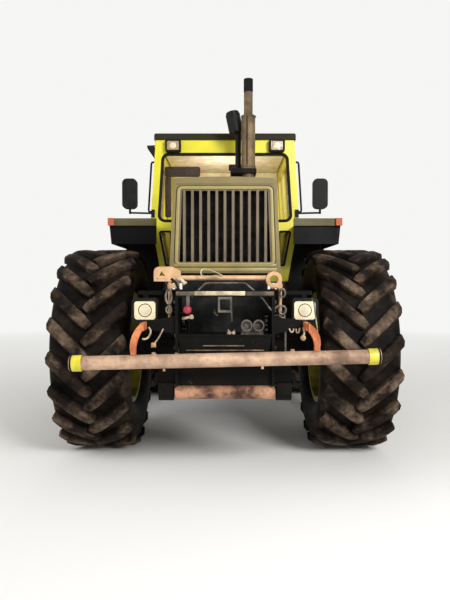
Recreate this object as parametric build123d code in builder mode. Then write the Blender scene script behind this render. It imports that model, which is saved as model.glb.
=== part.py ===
"""Four-wheel-drive system tractor: ladder frame, long hood, mid-mounted cab, rear deck, front guard bar.

Frame: X to the tractor's own left, Y rearwards (the tractor faces -Y), Z up from the ground, origin
below the middle of the overall length and width. Millimetres.
"""
from build123d import *
import os
from math import acos, asin, atan2, cos, degrees, radians, sin, sqrt

os.makedirs("parts", exist_ok=True)

# ---------------------------------------------------------------- driving sizes: whole machine
front_reach = 1400      # front axle to the guard bar's front
wheelbase = 2630
rear_reach = 3900       # front axle to the lower link ends
track = 2200            # between the tyres' middle planes
front_y = (front_reach - rear_reach) / 2
rear_y = front_y + wheelbase

# ---------------------------------------------------------------- fits and clearances
shaft_fit = 0.05        # radial play of a shaft in its hole
seat_gap = 0.3          # between curved or slanting faces that seat on each other
ear_gap = 6             # between a fork's ears and what turns between them

# ---------------------------------------------------------------- wheels
tyre_r = 905            # to the lugs' corners
tyre_w = 645
tread_r = 848           # carcass between the lugs, to its flats
tread_half = 262        # tread's half-width, to where the shoulder falls away
shoulder_r = 806
bead_r = 483
bead_half = 232
lug_count = 20          # on each side of the tread, the two sides half a pitch apart
lug_w = 88
lug_run = 320           # along the tread, from a lug's nose to its shoulder end
lug_nose_x = 12
lug_end_x = 287
lug_foot_r = 825        # the lugs' feet are sunk into the carcass
tyre_facets = 24
lug_pitch = 360 / lug_count
lug_lean = atan2(lug_run, lug_end_x - lug_nose_x)
lug_corner = lug_run / 2 + lug_w / 2 * cos(lug_lean)    # furthest corner from a lug's middle
lug_top = sqrt(tyre_r ** 2 - lug_corner ** 2)           # flat face's distance from the wheel's middle
# the wheel stands on two neighbouring lug corners, so its middle is a little lower than tyre_r
stand_angle = radians(lug_pitch / 2) - asin(lug_corner / tyre_r)
axle_z = tyre_r * cos(stand_angle)
flange_r = 510
flange_t = 13
flange_gap = 10         # between the flange and the bead's foot
barrel_t = 16
rim_dish_x = 60         # dish position outboard of the tyre's middle plane
rim_dish_t = 18
hand_holes = 6
hand_hole_r = 34
hand_hole_ring = 320
hub_r = 165
hub_step = 22
hub_in = 150            # hub reach inboard of the middle plane
hub_out = 150           # planetary cover reach outboard
spindle_r = 60
spindle_out = 90

# ---------------------------------------------------------------- front axle and steering
beam_r = 85
kingpin_x = 800
kingpin_r = 30
boss_r = 98
boss_half = 110
ear_t = 35
steer_arm_y = 260       # ball joints straight behind the kingpins, so both wheels turn alike
ball_r = 12
tie_rod_r = 20
diff_r = 205
diff_half = 105         # half-width of the housing's drum
diff_flank = 90         # run of its cone out to the beam
diff_nose_r = 125
diff_nose = 225         # reach of the drive flange before and behind the wheels' line
rear_diff_r = 225
rear_diff_half = 130
rear_diff_nose_r = 165
rear_diff_nose = 240
rear_beam_r = 105
radius_arm_x = 245
radius_arm_w = 38
radius_arm_h = 70
radius_arm_len = 1000
spring_x = 430
spring_r = 62
spring_top = 1320

# ---------------------------------------------------------------- ladder frame
rail_in = 264           # inner face of the rail's web
rail_out = 340
rail_t = 12
rail_z0 = 1080
rail_z1 = 1280
rail_front = front_y - 1040
rail_rear = rear_y + 980
member_h = 35
member_w = 120

# ---------------------------------------------------------------- engine and driveline
engine_half = 248
head_half = 174         # cylinder heads
engine_y0 = front_y - 440
engine_len = 1190
engine_shoulder = 1640  # top of the crankcase
engine_top = 1960
gearbox_half = 220
gearbox_y1 = front_y + 2300
gearbox_z0 = 850
gearbox_z1 = 1250
prop_r = 40
radiator_half = 335
radiator_t = 110

# ---------------------------------------------------------------- hood and cowl
hood_y0 = front_y - 950
hood_y1 = front_y + 200
hood_z0 = 1576
hood_z1 = 2317          # crown of the top
hood_low_half = 430
hood_top_half = 396
hood_shoulder = 14      # crown above the top corners
hood_corner_r = 34
hood_t = 18
hood_front_t = 36
hood_gap = 6
hinge_x = 250
hinge_z = hood_z1 + 13
hinge_w = 40
hinge_r = 12
hinge_pin_r = 6
hinge_play = 0.5
hinge_foot = 30
grille_z0 = 1648
grille_z1 = 2224
grille_low_half = 366
grille_top_half = 345
grille_frame = 14
bar_count = 11
bar_w = 20
bar_depth = 34
cab_y0 = front_y + 850

# ---------------------------------------------------------------- stacks on the cowl
stack_x = 235
stack_y = front_y + 470
silencer_r = 70
silencer_z0 = 2640
silencer_z1 = 3200
pipe_r = 44
pipe_wall = 4
pipe_top = 3550
stack_foot_r = 60
stack_foot_z = 2260     # both stacks pass down through the cowl's top
intake_x = 136
intake_y = front_y + 585
intake_stem_r = 30
intake_head_r = 74
intake_head_z0 = 3045
intake_head_h = 220
intake_head_x = intake_x - 18
intake_lean = 12        # degrees, the head leans to the right-hand side
stay_z = 2600           # the plate that holds both stacks
stay_t = 45
stay_half = 78

# ---------------------------------------------------------------- cab
cab_y1 = front_y + 2400
cab_z0 = 1520
cab_z1 = 3036
belt_z = 2200
cab_low_half = 680
belt_half = 800
cab_top_half = 746
wall = 48
floor_t = 40
roof_z1 = 3110
roof_over = 14
roof_r = 26
screen_z0 = 2170
screen_z1 = 2886
screen_low_half = 715
screen_top_half = 668
screen_r = 62
foot_pane_in = 585
foot_pane_low = 640
foot_pane_high = 708
foot_pane_z0 = 1690
foot_pane_z1 = 2056
foot_pane_r = 18
side_glass_z0 = 2240
side_glass_z1 = 2876
low_glass_z0 = 1700
low_glass_z1 = 2110
glass_t = 8
glass_in = 20           # glass set back from the skin
window_r = 55
door_y0 = front_y + 1100
door_len = 800
door_z0 = 1570
door_z1 = 2940
door_gap = 8
door_rear_gap = 16
door_hinge_x = 812
door_hinge_z = (1990, 2410)
door_hinge_h = 32
door_hinge_r = 10
door_pin_r = 5
door_post = 85          # door frame beside its windows
quarter_y0 = front_y + 1985
quarter_len = 330
rear_glass_half = 600
wheel_rim_r = 215       # steering wheel

# ---------------------------------------------------------------- fenders
fender_in = 654
fender_out = 1108
fender_y0 = front_y + 90
fender_y1 = front_y + 1010
fender_top = 2114
fender_t = 14
fender_lip = 70
fender_foot_z = 1400
fender_back = 1085      # behind the front axle, at the foot
fender_cab_x = 808      # inner edge beside the cab
fender_splay = 90       # how far the inner edge runs outwards from the nose to the cab
fender_wall_z = 1872    # foot of the front wall and outer skirt, over the tyre
fender_rake = 24        # outer skirt's lean inwards
fender_cab_gap = 12
arch_r = 985
arch_t = 14
arch_from = 48
arch_to = 142
arch_out = 1432

# ---------------------------------------------------------------- rear deck and side tanks
deck_y0 = cab_y1 + 40
deck_y1 = rear_y + 1000
deck_z0 = 1500
deck_t = 60
deck_half = 752
tank_in = rail_out
tank_out = 960
tank_y0 = front_y + 1160
tank_gap = 95           # clear of the rear tyre
tank_len = rear_y - tyre_r - tank_gap - tank_y0
tank_z0 = 760
tank_z1 = 1420
tank_r = 60
step_out = 1110
step_t = 30

# ---------------------------------------------------------------- front carrier and guard bar
guard_r = 50
collar_r = 56
guard_y = front_y - front_reach + collar_r
guard_z = 957
guard_half = 1095
guard_drop = 25         # the bar hangs lower at its right-hand end and higher at its left
collar_len = 85
plate_x = 365           # outer face of the carrier's side plates
plate_t = 22
plate_top = 1460
carrier_y0 = front_y - 1190
carrier_y1 = front_y - 1040
carrier_z0 = 745
carrier_z1 = 895
carrier_half = 490
hook_z = 790
lamp_arm_z = 1410
lamp_arm_t = 30
tusk_arm_end = 600      # the arms that carry the tusks, tapering outwards
tusk_arm_z = 1190
tusk_arm_root = 60
tusk_arm_tip = 30
lug_in = 380
lug_r = 62
roller_r = 52
roller_z = 690
roller_y = front_y - 1130
roller_pin_r = 24
tusk_x = 645
tusk_w = 34
tusk_t = 40
tusk_root_x = 588
tusk_bulge = 14
tusk_depth = 62
tusk_top_z = tusk_arm_z + 28
lamp_x = 604
lamp_z = 1294
lamp_y0 = front_y - 1060
lamp_depth = 120
lamp_w = 200
lamp_h = 185
lens_w = 163
lens_h = 140
lens_t = 8
work_lamp_x = 555
work_lamp_z = 2968
work_lamp_w = 168
work_lamp_h = 132
work_lamp_d = 60
work_lens_w = 128
work_lens_h = 96
marker_w = 58
marker_t = 26
mirror_x = 1015
mirror_y = front_y + 760
mirror_z = 2450
mirror_w = 158
mirror_h = 320
mirror_t = 60
upper_beam_z0 = 1400
upper_beam_z1 = 1447
shelf_z = 1107
shelf_t = 16
ballast_half = 345      # ballast block under the shelf, its sides leaning in
ballast_low_half = 305
jaw_half = 50
jaw_z0 = 1290
jaw_z1 = upper_beam_z0
jaw_t = 16
jaw_cheek = 14
jaw_reach = 110
brake_x = -270
brake_z = 1306
brake_r = 26
ring_places = (157, 243)
ring_z = 1192
ring_r = 42
ring_plate_t = 12
cross_z = 1538
cross_y = front_y - 1070
cross_r = 19
cross_right = -500
boss_x = 366            # eye boss at the cross shaft's left-hand end
boss_eye_r = 60
boss_hole_r = 32
hanger_x = 414
hanger_r = 13
hanger_foot_z = 1160
bracket_t = 40
bracket_r = 42

# ---------------------------------------------------------------- rear linkage
link_y = rear_y + 250
link_z = 620
link_x = 250
link_end_x = 440
link_end_y = front_y + rear_reach
link_h = 80
link_t = 34
link_pin_r = 17.5
ball_eye_r = 18.6
eye_r = 45
rock_y = rear_y + 400
rock_z = 1190
rock_r = 45
rock_half = 222
rock_boss_in = 60
rock_boss_out = 160
arm_len = 380
arm_x = 200
arm_t = 36
rod_r = 16
rod_foot_x = 314        # rod foot, just inboard of the lower link
rod_knee = 170          # the rods hang straight this far, clear of the frame rails
hitch_z = 880
hitch_pin_r = 16
hitch_reach = 190
hitch_face = rear_y + 480   # rear face of the housing
hitch_y = hitch_face + hitch_reach - 45
pto_r = 17.5
pto_z = 760
pto_len = 90
rear_box_half = 200
top_link_z = 1025
top_link_r = 22
top_link_len = 465
top_link_eye_r = 38
top_link_pin_r = 12.7


def side_x(z):
    """Outer half-width of the cab at height z: out to the belt line, then in again to the roof."""
    if z <= belt_z:
        return cab_low_half + (belt_half - cab_low_half) * (z - cab_z0) / (belt_z - cab_z0)
    return belt_half + (cab_top_half - belt_half) * (z - belt_z) / (cab_z1 - belt_z)


def wall_band(side, z_low, z_high, near, far):
    """Section of one cab side from z_low to z_high, between two depths under its skin."""
    heights = [z_low, belt_z, z_high] if z_low < belt_z < z_high else [z_low, z_high]
    outer = [(side * (side_x(z) - near), z) for z in heights]
    inner = [(side * (side_x(z) - far), z) for z in reversed(heights)]
    return outer + inner


def block(x0, x1, y0, y1, z0, z1, mode=Mode.ADD):
    """A box between two corners, in the part that is being built."""
    with Locations(((x0 + x1) / 2, (y0 + y1) / 2, (z0 + z1) / 2)):
        Box(abs(x1 - x0), abs(y1 - y0), abs(z1 - z0), mode=mode)


def rod(start, end, radius, mode=Mode.ADD):
    """A round bar from start to end, in the part that is being built."""
    along = Vector(*end) - Vector(*start)
    with BuildSketch(Plane(origin=start, z_dir=along), mode=Mode.PRIVATE) as face:
        Circle(radius)
    extrude(face.sketch, amount=along.length, mode=mode)


def prism(plane, points, amount, both=False, mode=Mode.ADD):
    """A straight-sided profile drawn on a plane and extruded from it."""
    with BuildSketch(plane, mode=Mode.PRIVATE) as face:
        with BuildLine():
            Polyline(*points, close=True)
        make_face()
    extrude(face.sketch, amount=amount, both=both, mode=mode)


def save(builder, name):
    """Label a finished piece and write it."""
    builder.part.label = name
    export_step(builder.part, f"parts/{name}.step")


# ================================================================ ladder frame
with BuildPart() as frame_rails:
    for side in (1, -1):
        channel = [(rail_out, rail_z0), (rail_out, rail_z0 + rail_t), (rail_in + rail_t, rail_z0 + rail_t),
                   (rail_in + rail_t, rail_z1 - rail_t), (rail_out, rail_z1 - rail_t), (rail_out, rail_z1),
                   (rail_in, rail_z1), (rail_in, rail_z0)]
        prism(Plane.XZ.offset(-rail_rear), [(side * x, z) for x, z in channel], rail_rear - rail_front)
    # cross members: one at the nose, two under the engine, two behind the rear axle
    for member_y in (rail_front + 80, engine_y0 + 120, engine_y0 + engine_len - 240, rear_y + 260,
                     rail_rear - member_w / 2):
        block(-rail_in, rail_in, member_y - member_w / 2, member_y + member_w / 2, rail_z0, rail_z0 + member_h)
save(frame_rails, "frame_rails")

# ================================================================ engine, gearbox, shafts, radiator
engine_z0 = rail_z0 + member_h
engine_y1 = engine_y0 + engine_len
with BuildPart() as engine_and_drive:
    block(-engine_half, engine_half, engine_y0, engine_y1, engine_z0, engine_shoulder)
    block(-head_half, head_half, engine_y0 + 40, engine_y1 - 60, engine_shoulder, engine_top)
    block(-gearbox_half, gearbox_half, engine_y1, gearbox_y1, gearbox_z0, gearbox_z1)
    rod((0, gearbox_y1, axle_z), (0, rear_y - rear_diff_nose - seat_gap, axle_z), prop_r)
    rod((0, engine_y1, axle_z), (0, front_y + diff_nose + seat_gap, axle_z), prop_r)
    block(-radiator_half, radiator_half, hood_y0 + 70, hood_y0 + 70 + radiator_t, hood_z0 + 20, grille_z1)
    block(-rail_in, rail_in, hood_y0 + 70, hood_y0 + 70 + radiator_t, rail_z0 + member_h, rail_z1)
    block(-radiator_half, radiator_half, hood_y0 + 70, hood_y0 + 70 + radiator_t, rail_z1, hood_z0 + 20)
save(engine_and_drive, "engine_and_drive")

# ================================================================ front axle beam, radius arms, springs
def turned_along_x(half_profile, y):
    """A housing turned about the wheels' line at y; half_profile is (x, radius) from its outer end inwards."""
    whole = half_profile + [(-x, r) for x, r in reversed(half_profile)]
    turning_plane = Plane(origin=(0, y, axle_z), x_dir=(1, 0, 0), z_dir=(0, -1, 0))
    with BuildSketch(turning_plane, mode=Mode.PRIVATE) as face:
        with BuildLine():
            Polyline((whole[0][0], 0), *whole, (whole[-1][0], 0), close=True)
        make_face()
    revolve(face.sketch, axis=Axis((0, y, axle_z), (1, 0, 0)))


with BuildPart() as front_axle:
    turned_along_x([(kingpin_x, beam_r), (diff_half + diff_flank, beam_r), (diff_half, diff_r)], front_y)
    rod((0, front_y - diff_nose, axle_z), (0, front_y + diff_nose, axle_z), diff_nose_r)
    with Locations(*[(side * kingpin_x, front_y, axle_z) for side in (1, -1)]):
        Cylinder(boss_r, 2 * boss_half)
    with Locations(*[(side * kingpin_x, front_y, axle_z) for side in (1, -1)]):
        Cylinder(kingpin_r + shaft_fit, 2 * boss_half + 2, mode=Mode.SUBTRACT)
    for side in (1, -1):
        inner = side * (radius_arm_x - radius_arm_w / 2)
        outer = side * (radius_arm_x + radius_arm_w / 2)
        block(inner, outer, front_y, front_y + radius_arm_len, axle_z - radius_arm_h / 2, axle_z + radius_arm_h / 2)
        block(inner, side * rail_out, front_y + radius_arm_len - 90, front_y + radius_arm_len,
              axle_z - radius_arm_h / 2, rail_z0)
        # coil spring between its seat on the beam and the bracket outside the rail
        rod((side * spring_x, front_y, axle_z), (side * spring_x, front_y, spring_top), spring_r)
        block(side * rail_out, side * (spring_x + spring_r), front_y - spring_r, front_y + spring_r,
              rail_z1 - 60, spring_top)
save(front_axle, "front_axle")

# ================================================================ rear axle
with BuildPart() as rear_axle:
    housing_half = track / 2 - hub_in - ear_gap
    turned_along_x([(track / 2 + spindle_out, spindle_r), (housing_half, spindle_r), (housing_half, rear_beam_r),
                    (rear_diff_half + diff_flank, rear_beam_r), (rear_diff_half, rear_diff_r)], rear_y)
    rod((0, rear_y - rear_diff_nose, axle_z), (0, rear_y + rear_diff_nose, axle_z), rear_diff_nose_r)
    for side in (1, -1):
        block(side * rail_in, side * rail_out, rear_y - 130, rear_y + 130, axle_z, rail_z0)
save(rear_axle, "rear_axle")

# ================================================================ steering: knuckles and tie rod
ear_low = axle_z - boss_half - ear_gap
for side, suffix in ((1, "left"), (-1, "right")):
    pin = side * kingpin_x
    with BuildPart() as knuckle:
        for ear_z0 in (ear_low - ear_t, axle_z + boss_half + ear_gap):
            block(pin - side * 75, pin + side * 150, front_y - 75, front_y + 75, ear_z0, ear_z0 + ear_t)
        back_x = pin + side * (boss_r + ear_gap + 6)
        block(back_x, pin + side * 150, front_y - 75, front_y + 75, ear_low, axle_z + boss_half + ear_gap)
        spindle_end = side * (track / 2 + spindle_out)
        rod((pin + side * 140, front_y, axle_z), (spindle_end, front_y, axle_z), spindle_r)
        rod((pin, front_y, ear_low - ear_t), (pin, front_y, axle_z + boss_half + ear_gap + ear_t), kingpin_r)
        # steering arm, tapering back to the ball joint
        prism(Plane.XY.offset(ear_low - ear_t),
              [(pin - 45, front_y), (pin + 45, front_y), (pin + 32, front_y + steer_arm_y + 30),
               (pin - 32, front_y + steer_arm_y + 30)], ear_t)
        with Locations((pin, front_y + steer_arm_y, ear_low - ear_t / 2)):
            Cylinder(ball_r + shaft_fit, ear_t + 2, mode=Mode.SUBTRACT)
    save(knuckle, f"knuckle_{suffix}")

tie_z = ear_low - ear_t - 8 - tie_rod_r
with BuildPart() as tie_rod:
    ball_half = kingpin_x
    rod((-ball_half - 25, front_y + steer_arm_y, tie_z), (ball_half + 25, front_y + steer_arm_y, tie_z), tie_rod_r)
    for side in (1, -1):
        rod((side * ball_half, front_y + steer_arm_y, tie_z),
            (side * ball_half, front_y + steer_arm_y, ear_low), ball_r)
save(tie_rod, "tie_rod")

# ================================================================ wheels
def tread_plane(angle):
    """Plane of a lug's flat face, at an angle round the wheel from its front upwards; local Y runs round."""
    out = (0, -cos(radians(angle)), sin(radians(angle)))
    return Plane(origin=Vector(*out) * lug_top, x_dir=(1, 0, 0), z_dir=out)


# the carcass is a ring of flat facets: one facet's section cut to its share of the turn, then placed all round
facet_half = 180 / tyre_facets
facet_rise = cos(radians(facet_half))
carcass = [(bead_half, bead_r), (tyre_w / 2, shoulder_r), (tread_half, tread_r)]
carcass += [(-x, r) for x, r in reversed(carcass)]
with BuildPart() as tyre_facet:
    prism(Plane.XY, carcass, 2 * tread_r * sin(radians(facet_half)), both=True)
    for turn in (1, -1):
        facet_end = Plane(origin=(0, 0, 0), z_dir=(0, -sin(radians(facet_half)), turn * facet_rise))
        split(bisect_by=facet_end, keep=Keep.BOTTOM)
half_w = lug_w / 2
nose_s = -lug_run / 2
end_s = lug_run / 2
lug_outline = [(lug_nose_x - half_w * sin(lug_lean), nose_s + half_w * cos(lug_lean)),
               (lug_nose_x + half_w * sin(lug_lean), nose_s - half_w * cos(lug_lean)),
               (lug_end_x + half_w * sin(lug_lean), end_s - half_w * cos(lug_lean)),
               (lug_end_x - half_w * sin(lug_lean), end_s + half_w * cos(lug_lean))]
with BuildPart() as tyre_form:
    with Locations(*[Location((0, 0, 0), (2 * n * facet_half, 0, 0)) for n in range(tyre_facets)]):
        add(tyre_facet.part)
    # lugs lean the same way round on both sides, so that the tread's points lead
    for side in (1, -1):
        first = 0 if side > 0 else lug_pitch / 2
        with BuildSketch(*[tread_plane(first + n * lug_pitch) for n in range(lug_count)]):
            with BuildLine():
                Polyline(*[(side * x, s) for x, s in lug_outline], close=True)
            make_face()
        extrude(amount=lug_foot_r - lug_top)

barrel_r = bead_r - seat_gap
barrel_in = barrel_r - barrel_t
flange_x = bead_half + flange_gap
rim_section = [(flange_x + flange_t, flange_r), (flange_x, flange_r), (flange_x, barrel_r),
               (-flange_x, barrel_r), (-flange_x, flange_r), (-flange_x - flange_t, flange_r),
               (-flange_x - flange_t, barrel_in), (rim_dish_x, barrel_in), (rim_dish_x, hub_r - 40),
               (-hub_in, hub_r - 40), (-hub_in, spindle_r + shaft_fit),
               (spindle_out + ear_gap, spindle_r + shaft_fit), (spindle_out + ear_gap, 0), (hub_out, 0),
               (hub_out, hub_r - hub_step), (hub_out - hub_step, hub_r), (rim_dish_x + rim_dish_t, hub_r),
               (rim_dish_x + rim_dish_t, barrel_in), (flange_x + flange_t, barrel_in)]
for side, across in ((1, "left"), (-1, "right")):
    with BuildPart() as rim_form:
        with BuildSketch(Plane.XY):
            with BuildLine():
                Polyline(*[(side * x, r) for x, r in rim_section], close=True)
            make_face()
        revolve(axis=Axis.X)
        with BuildSketch(Plane.YZ.offset(side * (rim_dish_x + rim_dish_t / 2))):
            with PolarLocations(hand_hole_ring, hand_holes):
                Circle(hand_hole_r)
        extrude(amount=rim_dish_t, both=True, mode=Mode.SUBTRACT)
    for wheel_y, end in ((front_y, "front"), (rear_y, "rear")):
        wheel_middle = (side * track / 2, wheel_y, axle_z)
        with BuildPart() as tyre:
            with Locations(wheel_middle):
                add(tyre_form.part)
        save(tyre, f"tyre_{end}_{across}")
        with BuildPart() as rim:
            with Locations(wheel_middle):
                add(rim_form.part)
        save(rim, f"rim_{end}_{across}")

# ================================================================ hood: shell and grille
shoulder_z = hood_z1 - hood_shoulder


def hood_outline(inset):
    """Section of the hood: sides leaning in, rounded corners and a slightly crowned top."""
    with BuildSketch(Plane.XZ, mode=Mode.PRIVATE) as face:
        with BuildLine():
            low = (hood_low_half - inset, hood_z0)
            high = (hood_top_half - inset, shoulder_z - inset)
            Polyline((-high[0], high[1]), (-low[0], low[1]), low, high)
            ThreePointArc(high, (0, hood_z1 - inset), (-high[0], high[1]))
        make_face()
        fillet(face.vertices().group_by(Axis.Y)[-1], hood_corner_r - 0.6 * inset)
    return face.sketch


def grille_outline(inset):
    """The grille's opening in the hood's front, drawn upright."""
    with BuildSketch(Plane.XZ, mode=Mode.PRIVATE) as face:
        with BuildLine():
            Polyline((-grille_low_half + inset, grille_z0 + inset), (grille_low_half - inset, grille_z0 + inset),
                     (grille_top_half - inset, grille_z1 - inset), (-grille_top_half + inset, grille_z1 - inset),
                     close=True)
        make_face()
    return face.sketch


with BuildPart() as hood_shell:
    extrude(Pos(0, hood_y1 - hood_gap, 0) * hood_outline(0), amount=hood_y1 - hood_gap - hood_y0)
    extrude(Pos(0, hood_y1, 0) * hood_outline(hood_t), amount=hood_y1 - hood_y0 - hood_front_t,
            mode=Mode.SUBTRACT)
    block(-hood_low_half + hood_t, hood_low_half - hood_t, hood_y0 + hood_front_t, hood_y1,
          hood_z0 - 5, hood_z0 + 30, mode=Mode.SUBTRACT)
    extrude(Pos(0, hood_y0 + hood_front_t + 1, 0) * grille_outline(0), amount=hood_front_t + 2,
            mode=Mode.SUBTRACT)
    # outer halves of the hinges, either side of the cowl's
    for side in (1, -1):
        for leaf in (-1, 1):
            near = side * hinge_x + leaf * (hinge_w / 2 + hinge_play)
            far = near + leaf * hinge_w
            block(near, far, hood_y1 - hood_gap - hinge_foot, hood_y1 - hood_gap, hood_z1 - hood_t, hinge_z)
            rod((near, hood_y1, hinge_z), (far, hood_y1, hinge_z), hinge_r)
            block(near, far, hood_y1 - hood_gap - 1, hood_y1, hinge_z - hinge_r / 2, hinge_z + hinge_r / 2)
            rod((near, hood_y1, hinge_z), (far, hood_y1, hinge_z), hinge_pin_r + shaft_fit, mode=Mode.SUBTRACT)
save(hood_shell, "hood_shell")

with BuildPart() as grille:
    extrude(Pos(0, hood_y0 + bar_depth, 0) * grille_outline(seat_gap), amount=bar_depth - 4)
    extrude(Pos(0, hood_y0 + bar_depth, 0) * grille_outline(grille_frame), amount=bar_depth - 4,
            mode=Mode.SUBTRACT)
    pitch = 2 * grille_top_half / bar_count
    for n in range(bar_count):
        bar_x = (n - (bar_count - 1) / 2) * pitch
        block(bar_x - bar_w / 2, bar_x + bar_w / 2, hood_y0 + 4, hood_y0 + bar_depth,
              grille_z0 + grille_frame / 2, grille_z1 - grille_frame / 2)
save(grille, "grille")

# ================================================================ fixed cowl with its two stacks
with BuildPart() as rear_cowl:
    extrude(Pos(0, cab_y0, 0) * hood_outline(0), amount=cab_y0 - hood_y1)
    extrude(Pos(0, cab_y0, 0) * hood_outline(hood_t), amount=cab_y0 - hood_y1, mode=Mode.SUBTRACT)
    block(-hood_low_half + hood_t, hood_low_half - hood_t, hood_y1, cab_y0, hood_z0 - 5, hood_z0 + 30,
          mode=Mode.SUBTRACT)
    for hole_x, hole_y, pipe in ((stack_x, stack_y, stack_foot_r), (intake_x, intake_y, intake_stem_r)):
        rod((hole_x, hole_y, stack_foot_z), (hole_x, hole_y, hood_z1 + 10), pipe + seat_gap, mode=Mode.SUBTRACT)
    for side in (1, -1):
        hinge_in = side * hinge_x - hinge_w / 2
        block(hinge_in, hinge_in + hinge_w, hood_y1, hood_y1 + hinge_foot, hood_z1 - hood_t, hinge_z)
        rod((hinge_in, hood_y1, hinge_z), (hinge_in + hinge_w, hood_y1, hinge_z), hinge_r)
        rod((hinge_in - hinge_w, hood_y1, hinge_z), (hinge_in + 2 * hinge_w, hood_y1, hinge_z), hinge_pin_r)
save(rear_cowl, "rear_cowl")

stack_profile = [(0, stack_foot_z), (stack_foot_r, stack_foot_z), (stack_foot_r, silencer_z0 - 20),
                 (silencer_r, silencer_z0), (silencer_r, silencer_z1 - 24), (pipe_r, silencer_z1),
                 (pipe_r, pipe_top), (pipe_r - pipe_wall, pipe_top), (pipe_r - pipe_wall, silencer_z1 - 40),
                 (0, silencer_z1 - 40)]
with BuildPart() as exhaust_stack:
    with BuildSketch(Plane.XZ.offset(-stack_y)):
        with BuildLine():
            Polyline(*[(stack_x + r, z) for r, z in stack_profile], close=True)
        make_face()
    revolve(axis=Axis((stack_x, stack_y, 0), (0, 0, 1)))
    # plate across both stacks, with a hole for the intake
    with BuildSketch(Plane.XY.offset(stay_z)):
        with BuildLine():
            Polyline((stack_x, stack_y - stay_half), (stack_x, stack_y + stay_half),
                     (intake_x, intake_y + stay_half), (intake_x, intake_y - stay_half), close=True)
        make_face()
        for stay_x, stay_y in ((stack_x, stack_y), (intake_x, intake_y)):
            with Locations((stay_x, stay_y)):
                Circle(stay_half)
        with Locations((intake_x, intake_y)):
            Circle(intake_stem_r + seat_gap, mode=Mode.SUBTRACT)
    extrude(amount=stay_t)
save(exhaust_stack, "exhaust_stack")

head_profile = [(0, 0), (intake_head_r, 0), (intake_head_r, intake_head_h - 30),
                (intake_head_r - 8, intake_head_h - 30), (intake_head_r - 8, intake_head_h - 8),
                (intake_head_r - 24, intake_head_h), (0, intake_head_h)]
with BuildPart() as air_intake:
    rod((intake_x, intake_y, stack_foot_z), (intake_x, intake_y, intake_head_z0 + 40), intake_stem_r)
    head_plane = Plane(origin=(intake_head_x, intake_y, intake_head_z0), x_dir=(0, 1, 0),
                       z_dir=(-sin(radians(intake_lean)), 0, cos(radians(intake_lean))))
    with BuildSketch(Plane(origin=head_plane.origin, x_dir=head_plane.x_dir, z_dir=-head_plane.y_dir)):
        with BuildLine():
            Polyline(*head_profile, close=True)
        make_face()
    revolve(axis=Axis(head_plane.origin, head_plane.z_dir))
save(air_intake, "air_intake")

# ================================================================ cab
cab_len = cab_y1 - cab_y0
widest = max(cab_low_half, belt_half, cab_top_half) + 10


def rounded_window(plane, points, radius, amount, mode, grow=0.0):
    """A window's outline with rounded corners, extruded both ways from its plane."""
    with BuildSketch(plane, mode=Mode.PRIVATE) as face:
        with BuildLine():
            Polyline(*points, close=True)
        make_face()
        fillet(face.vertices(), radius)
        if grow:
            offset(amount=grow)
    extrude(face.sketch, amount=amount, both=True, mode=mode)


screen_points = [(-screen_low_half, screen_z0), (screen_low_half, screen_z0),
                 (screen_top_half, screen_z1), (-screen_top_half, screen_z1)]
foot_points = [(foot_pane_in, foot_pane_z0), (foot_pane_low, foot_pane_z0),
               (foot_pane_high, foot_pane_z1), (foot_pane_in, foot_pane_z1)]
rear_points = [(-rear_glass_half, side_glass_z0), (rear_glass_half, side_glass_z0),
               (rear_glass_half - 20, side_glass_z1), (-rear_glass_half + 20, side_glass_z1)]
quarter_y1 = quarter_y0 + quarter_len
quarter_points = [(quarter_y0, side_glass_z0), (quarter_y1, side_glass_z0),
                  (quarter_y1, side_glass_z1), (quarter_y0, side_glass_z1)]
foot_right_points = [(-x, z) for x, z in foot_points]

with BuildPart() as cab_shell:
    outer = [(-cab_low_half, cab_z0), (-belt_half, belt_z), (-cab_top_half, cab_z1),
             (cab_top_half, cab_z1), (belt_half, belt_z), (cab_low_half, cab_z0)]
    inner = [(-side_x(cab_z0 + floor_t) + wall, cab_z0 + floor_t), (-belt_half + wall, belt_z),
             (-cab_top_half + wall, cab_z1 + 1), (cab_top_half - wall, cab_z1 + 1),
             (belt_half - wall, belt_z), (side_x(cab_z0 + floor_t) - wall, cab_z0 + floor_t)]
    prism(Plane.XZ.offset(-cab_y1), outer, cab_len)
    prism(Plane.XZ.offset(-cab_y1 + wall), inner, cab_len - 2 * wall, mode=Mode.SUBTRACT)
    front_plane = Plane.XZ.offset(-cab_y0)
    rear_plane = Plane.XZ.offset(-cab_y1)
    rounded_window(front_plane, screen_points, screen_r, wall + 5, Mode.SUBTRACT)
    rounded_window(front_plane, foot_points, foot_pane_r, wall + 5, Mode.SUBTRACT)
    rounded_window(front_plane, foot_right_points, foot_pane_r, wall + 5, Mode.SUBTRACT)
    rounded_window(rear_plane, rear_points, window_r, wall + 5, Mode.SUBTRACT)
    rounded_window(Plane.YZ, quarter_points, window_r, belt_half + 10, Mode.SUBTRACT)
    for side in (1, -1):
        block(side * 560, side * widest, door_y0, door_y0 + door_len, door_z0 - door_gap,
              door_z1 + door_gap, mode=Mode.SUBTRACT)
        for hinge_mid in door_hinge_z:
            skin = side_x(hinge_mid)
            block(side * (skin - 20), side * door_hinge_x, door_y0 - hinge_foot, door_y0,
                  hinge_mid - door_hinge_h, hinge_mid - hinge_play)
            rod((side * door_hinge_x, door_y0, hinge_mid - door_hinge_h),
                (side * door_hinge_x, door_y0, hinge_mid - hinge_play), door_hinge_r)
            rod((side * door_hinge_x, door_y0, hinge_mid - door_hinge_h),
                (side * door_hinge_x, door_y0, hinge_mid + door_hinge_h), door_pin_r)
        # mounts down to the frame rails
        for mount_y in (cab_y0 + 140, cab_y1 - 260):
            block(side * rail_in, side * rail_out, mount_y, mount_y + 110, rail_z1, cab_z0)
save(cab_shell, "cab_shell")

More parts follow.
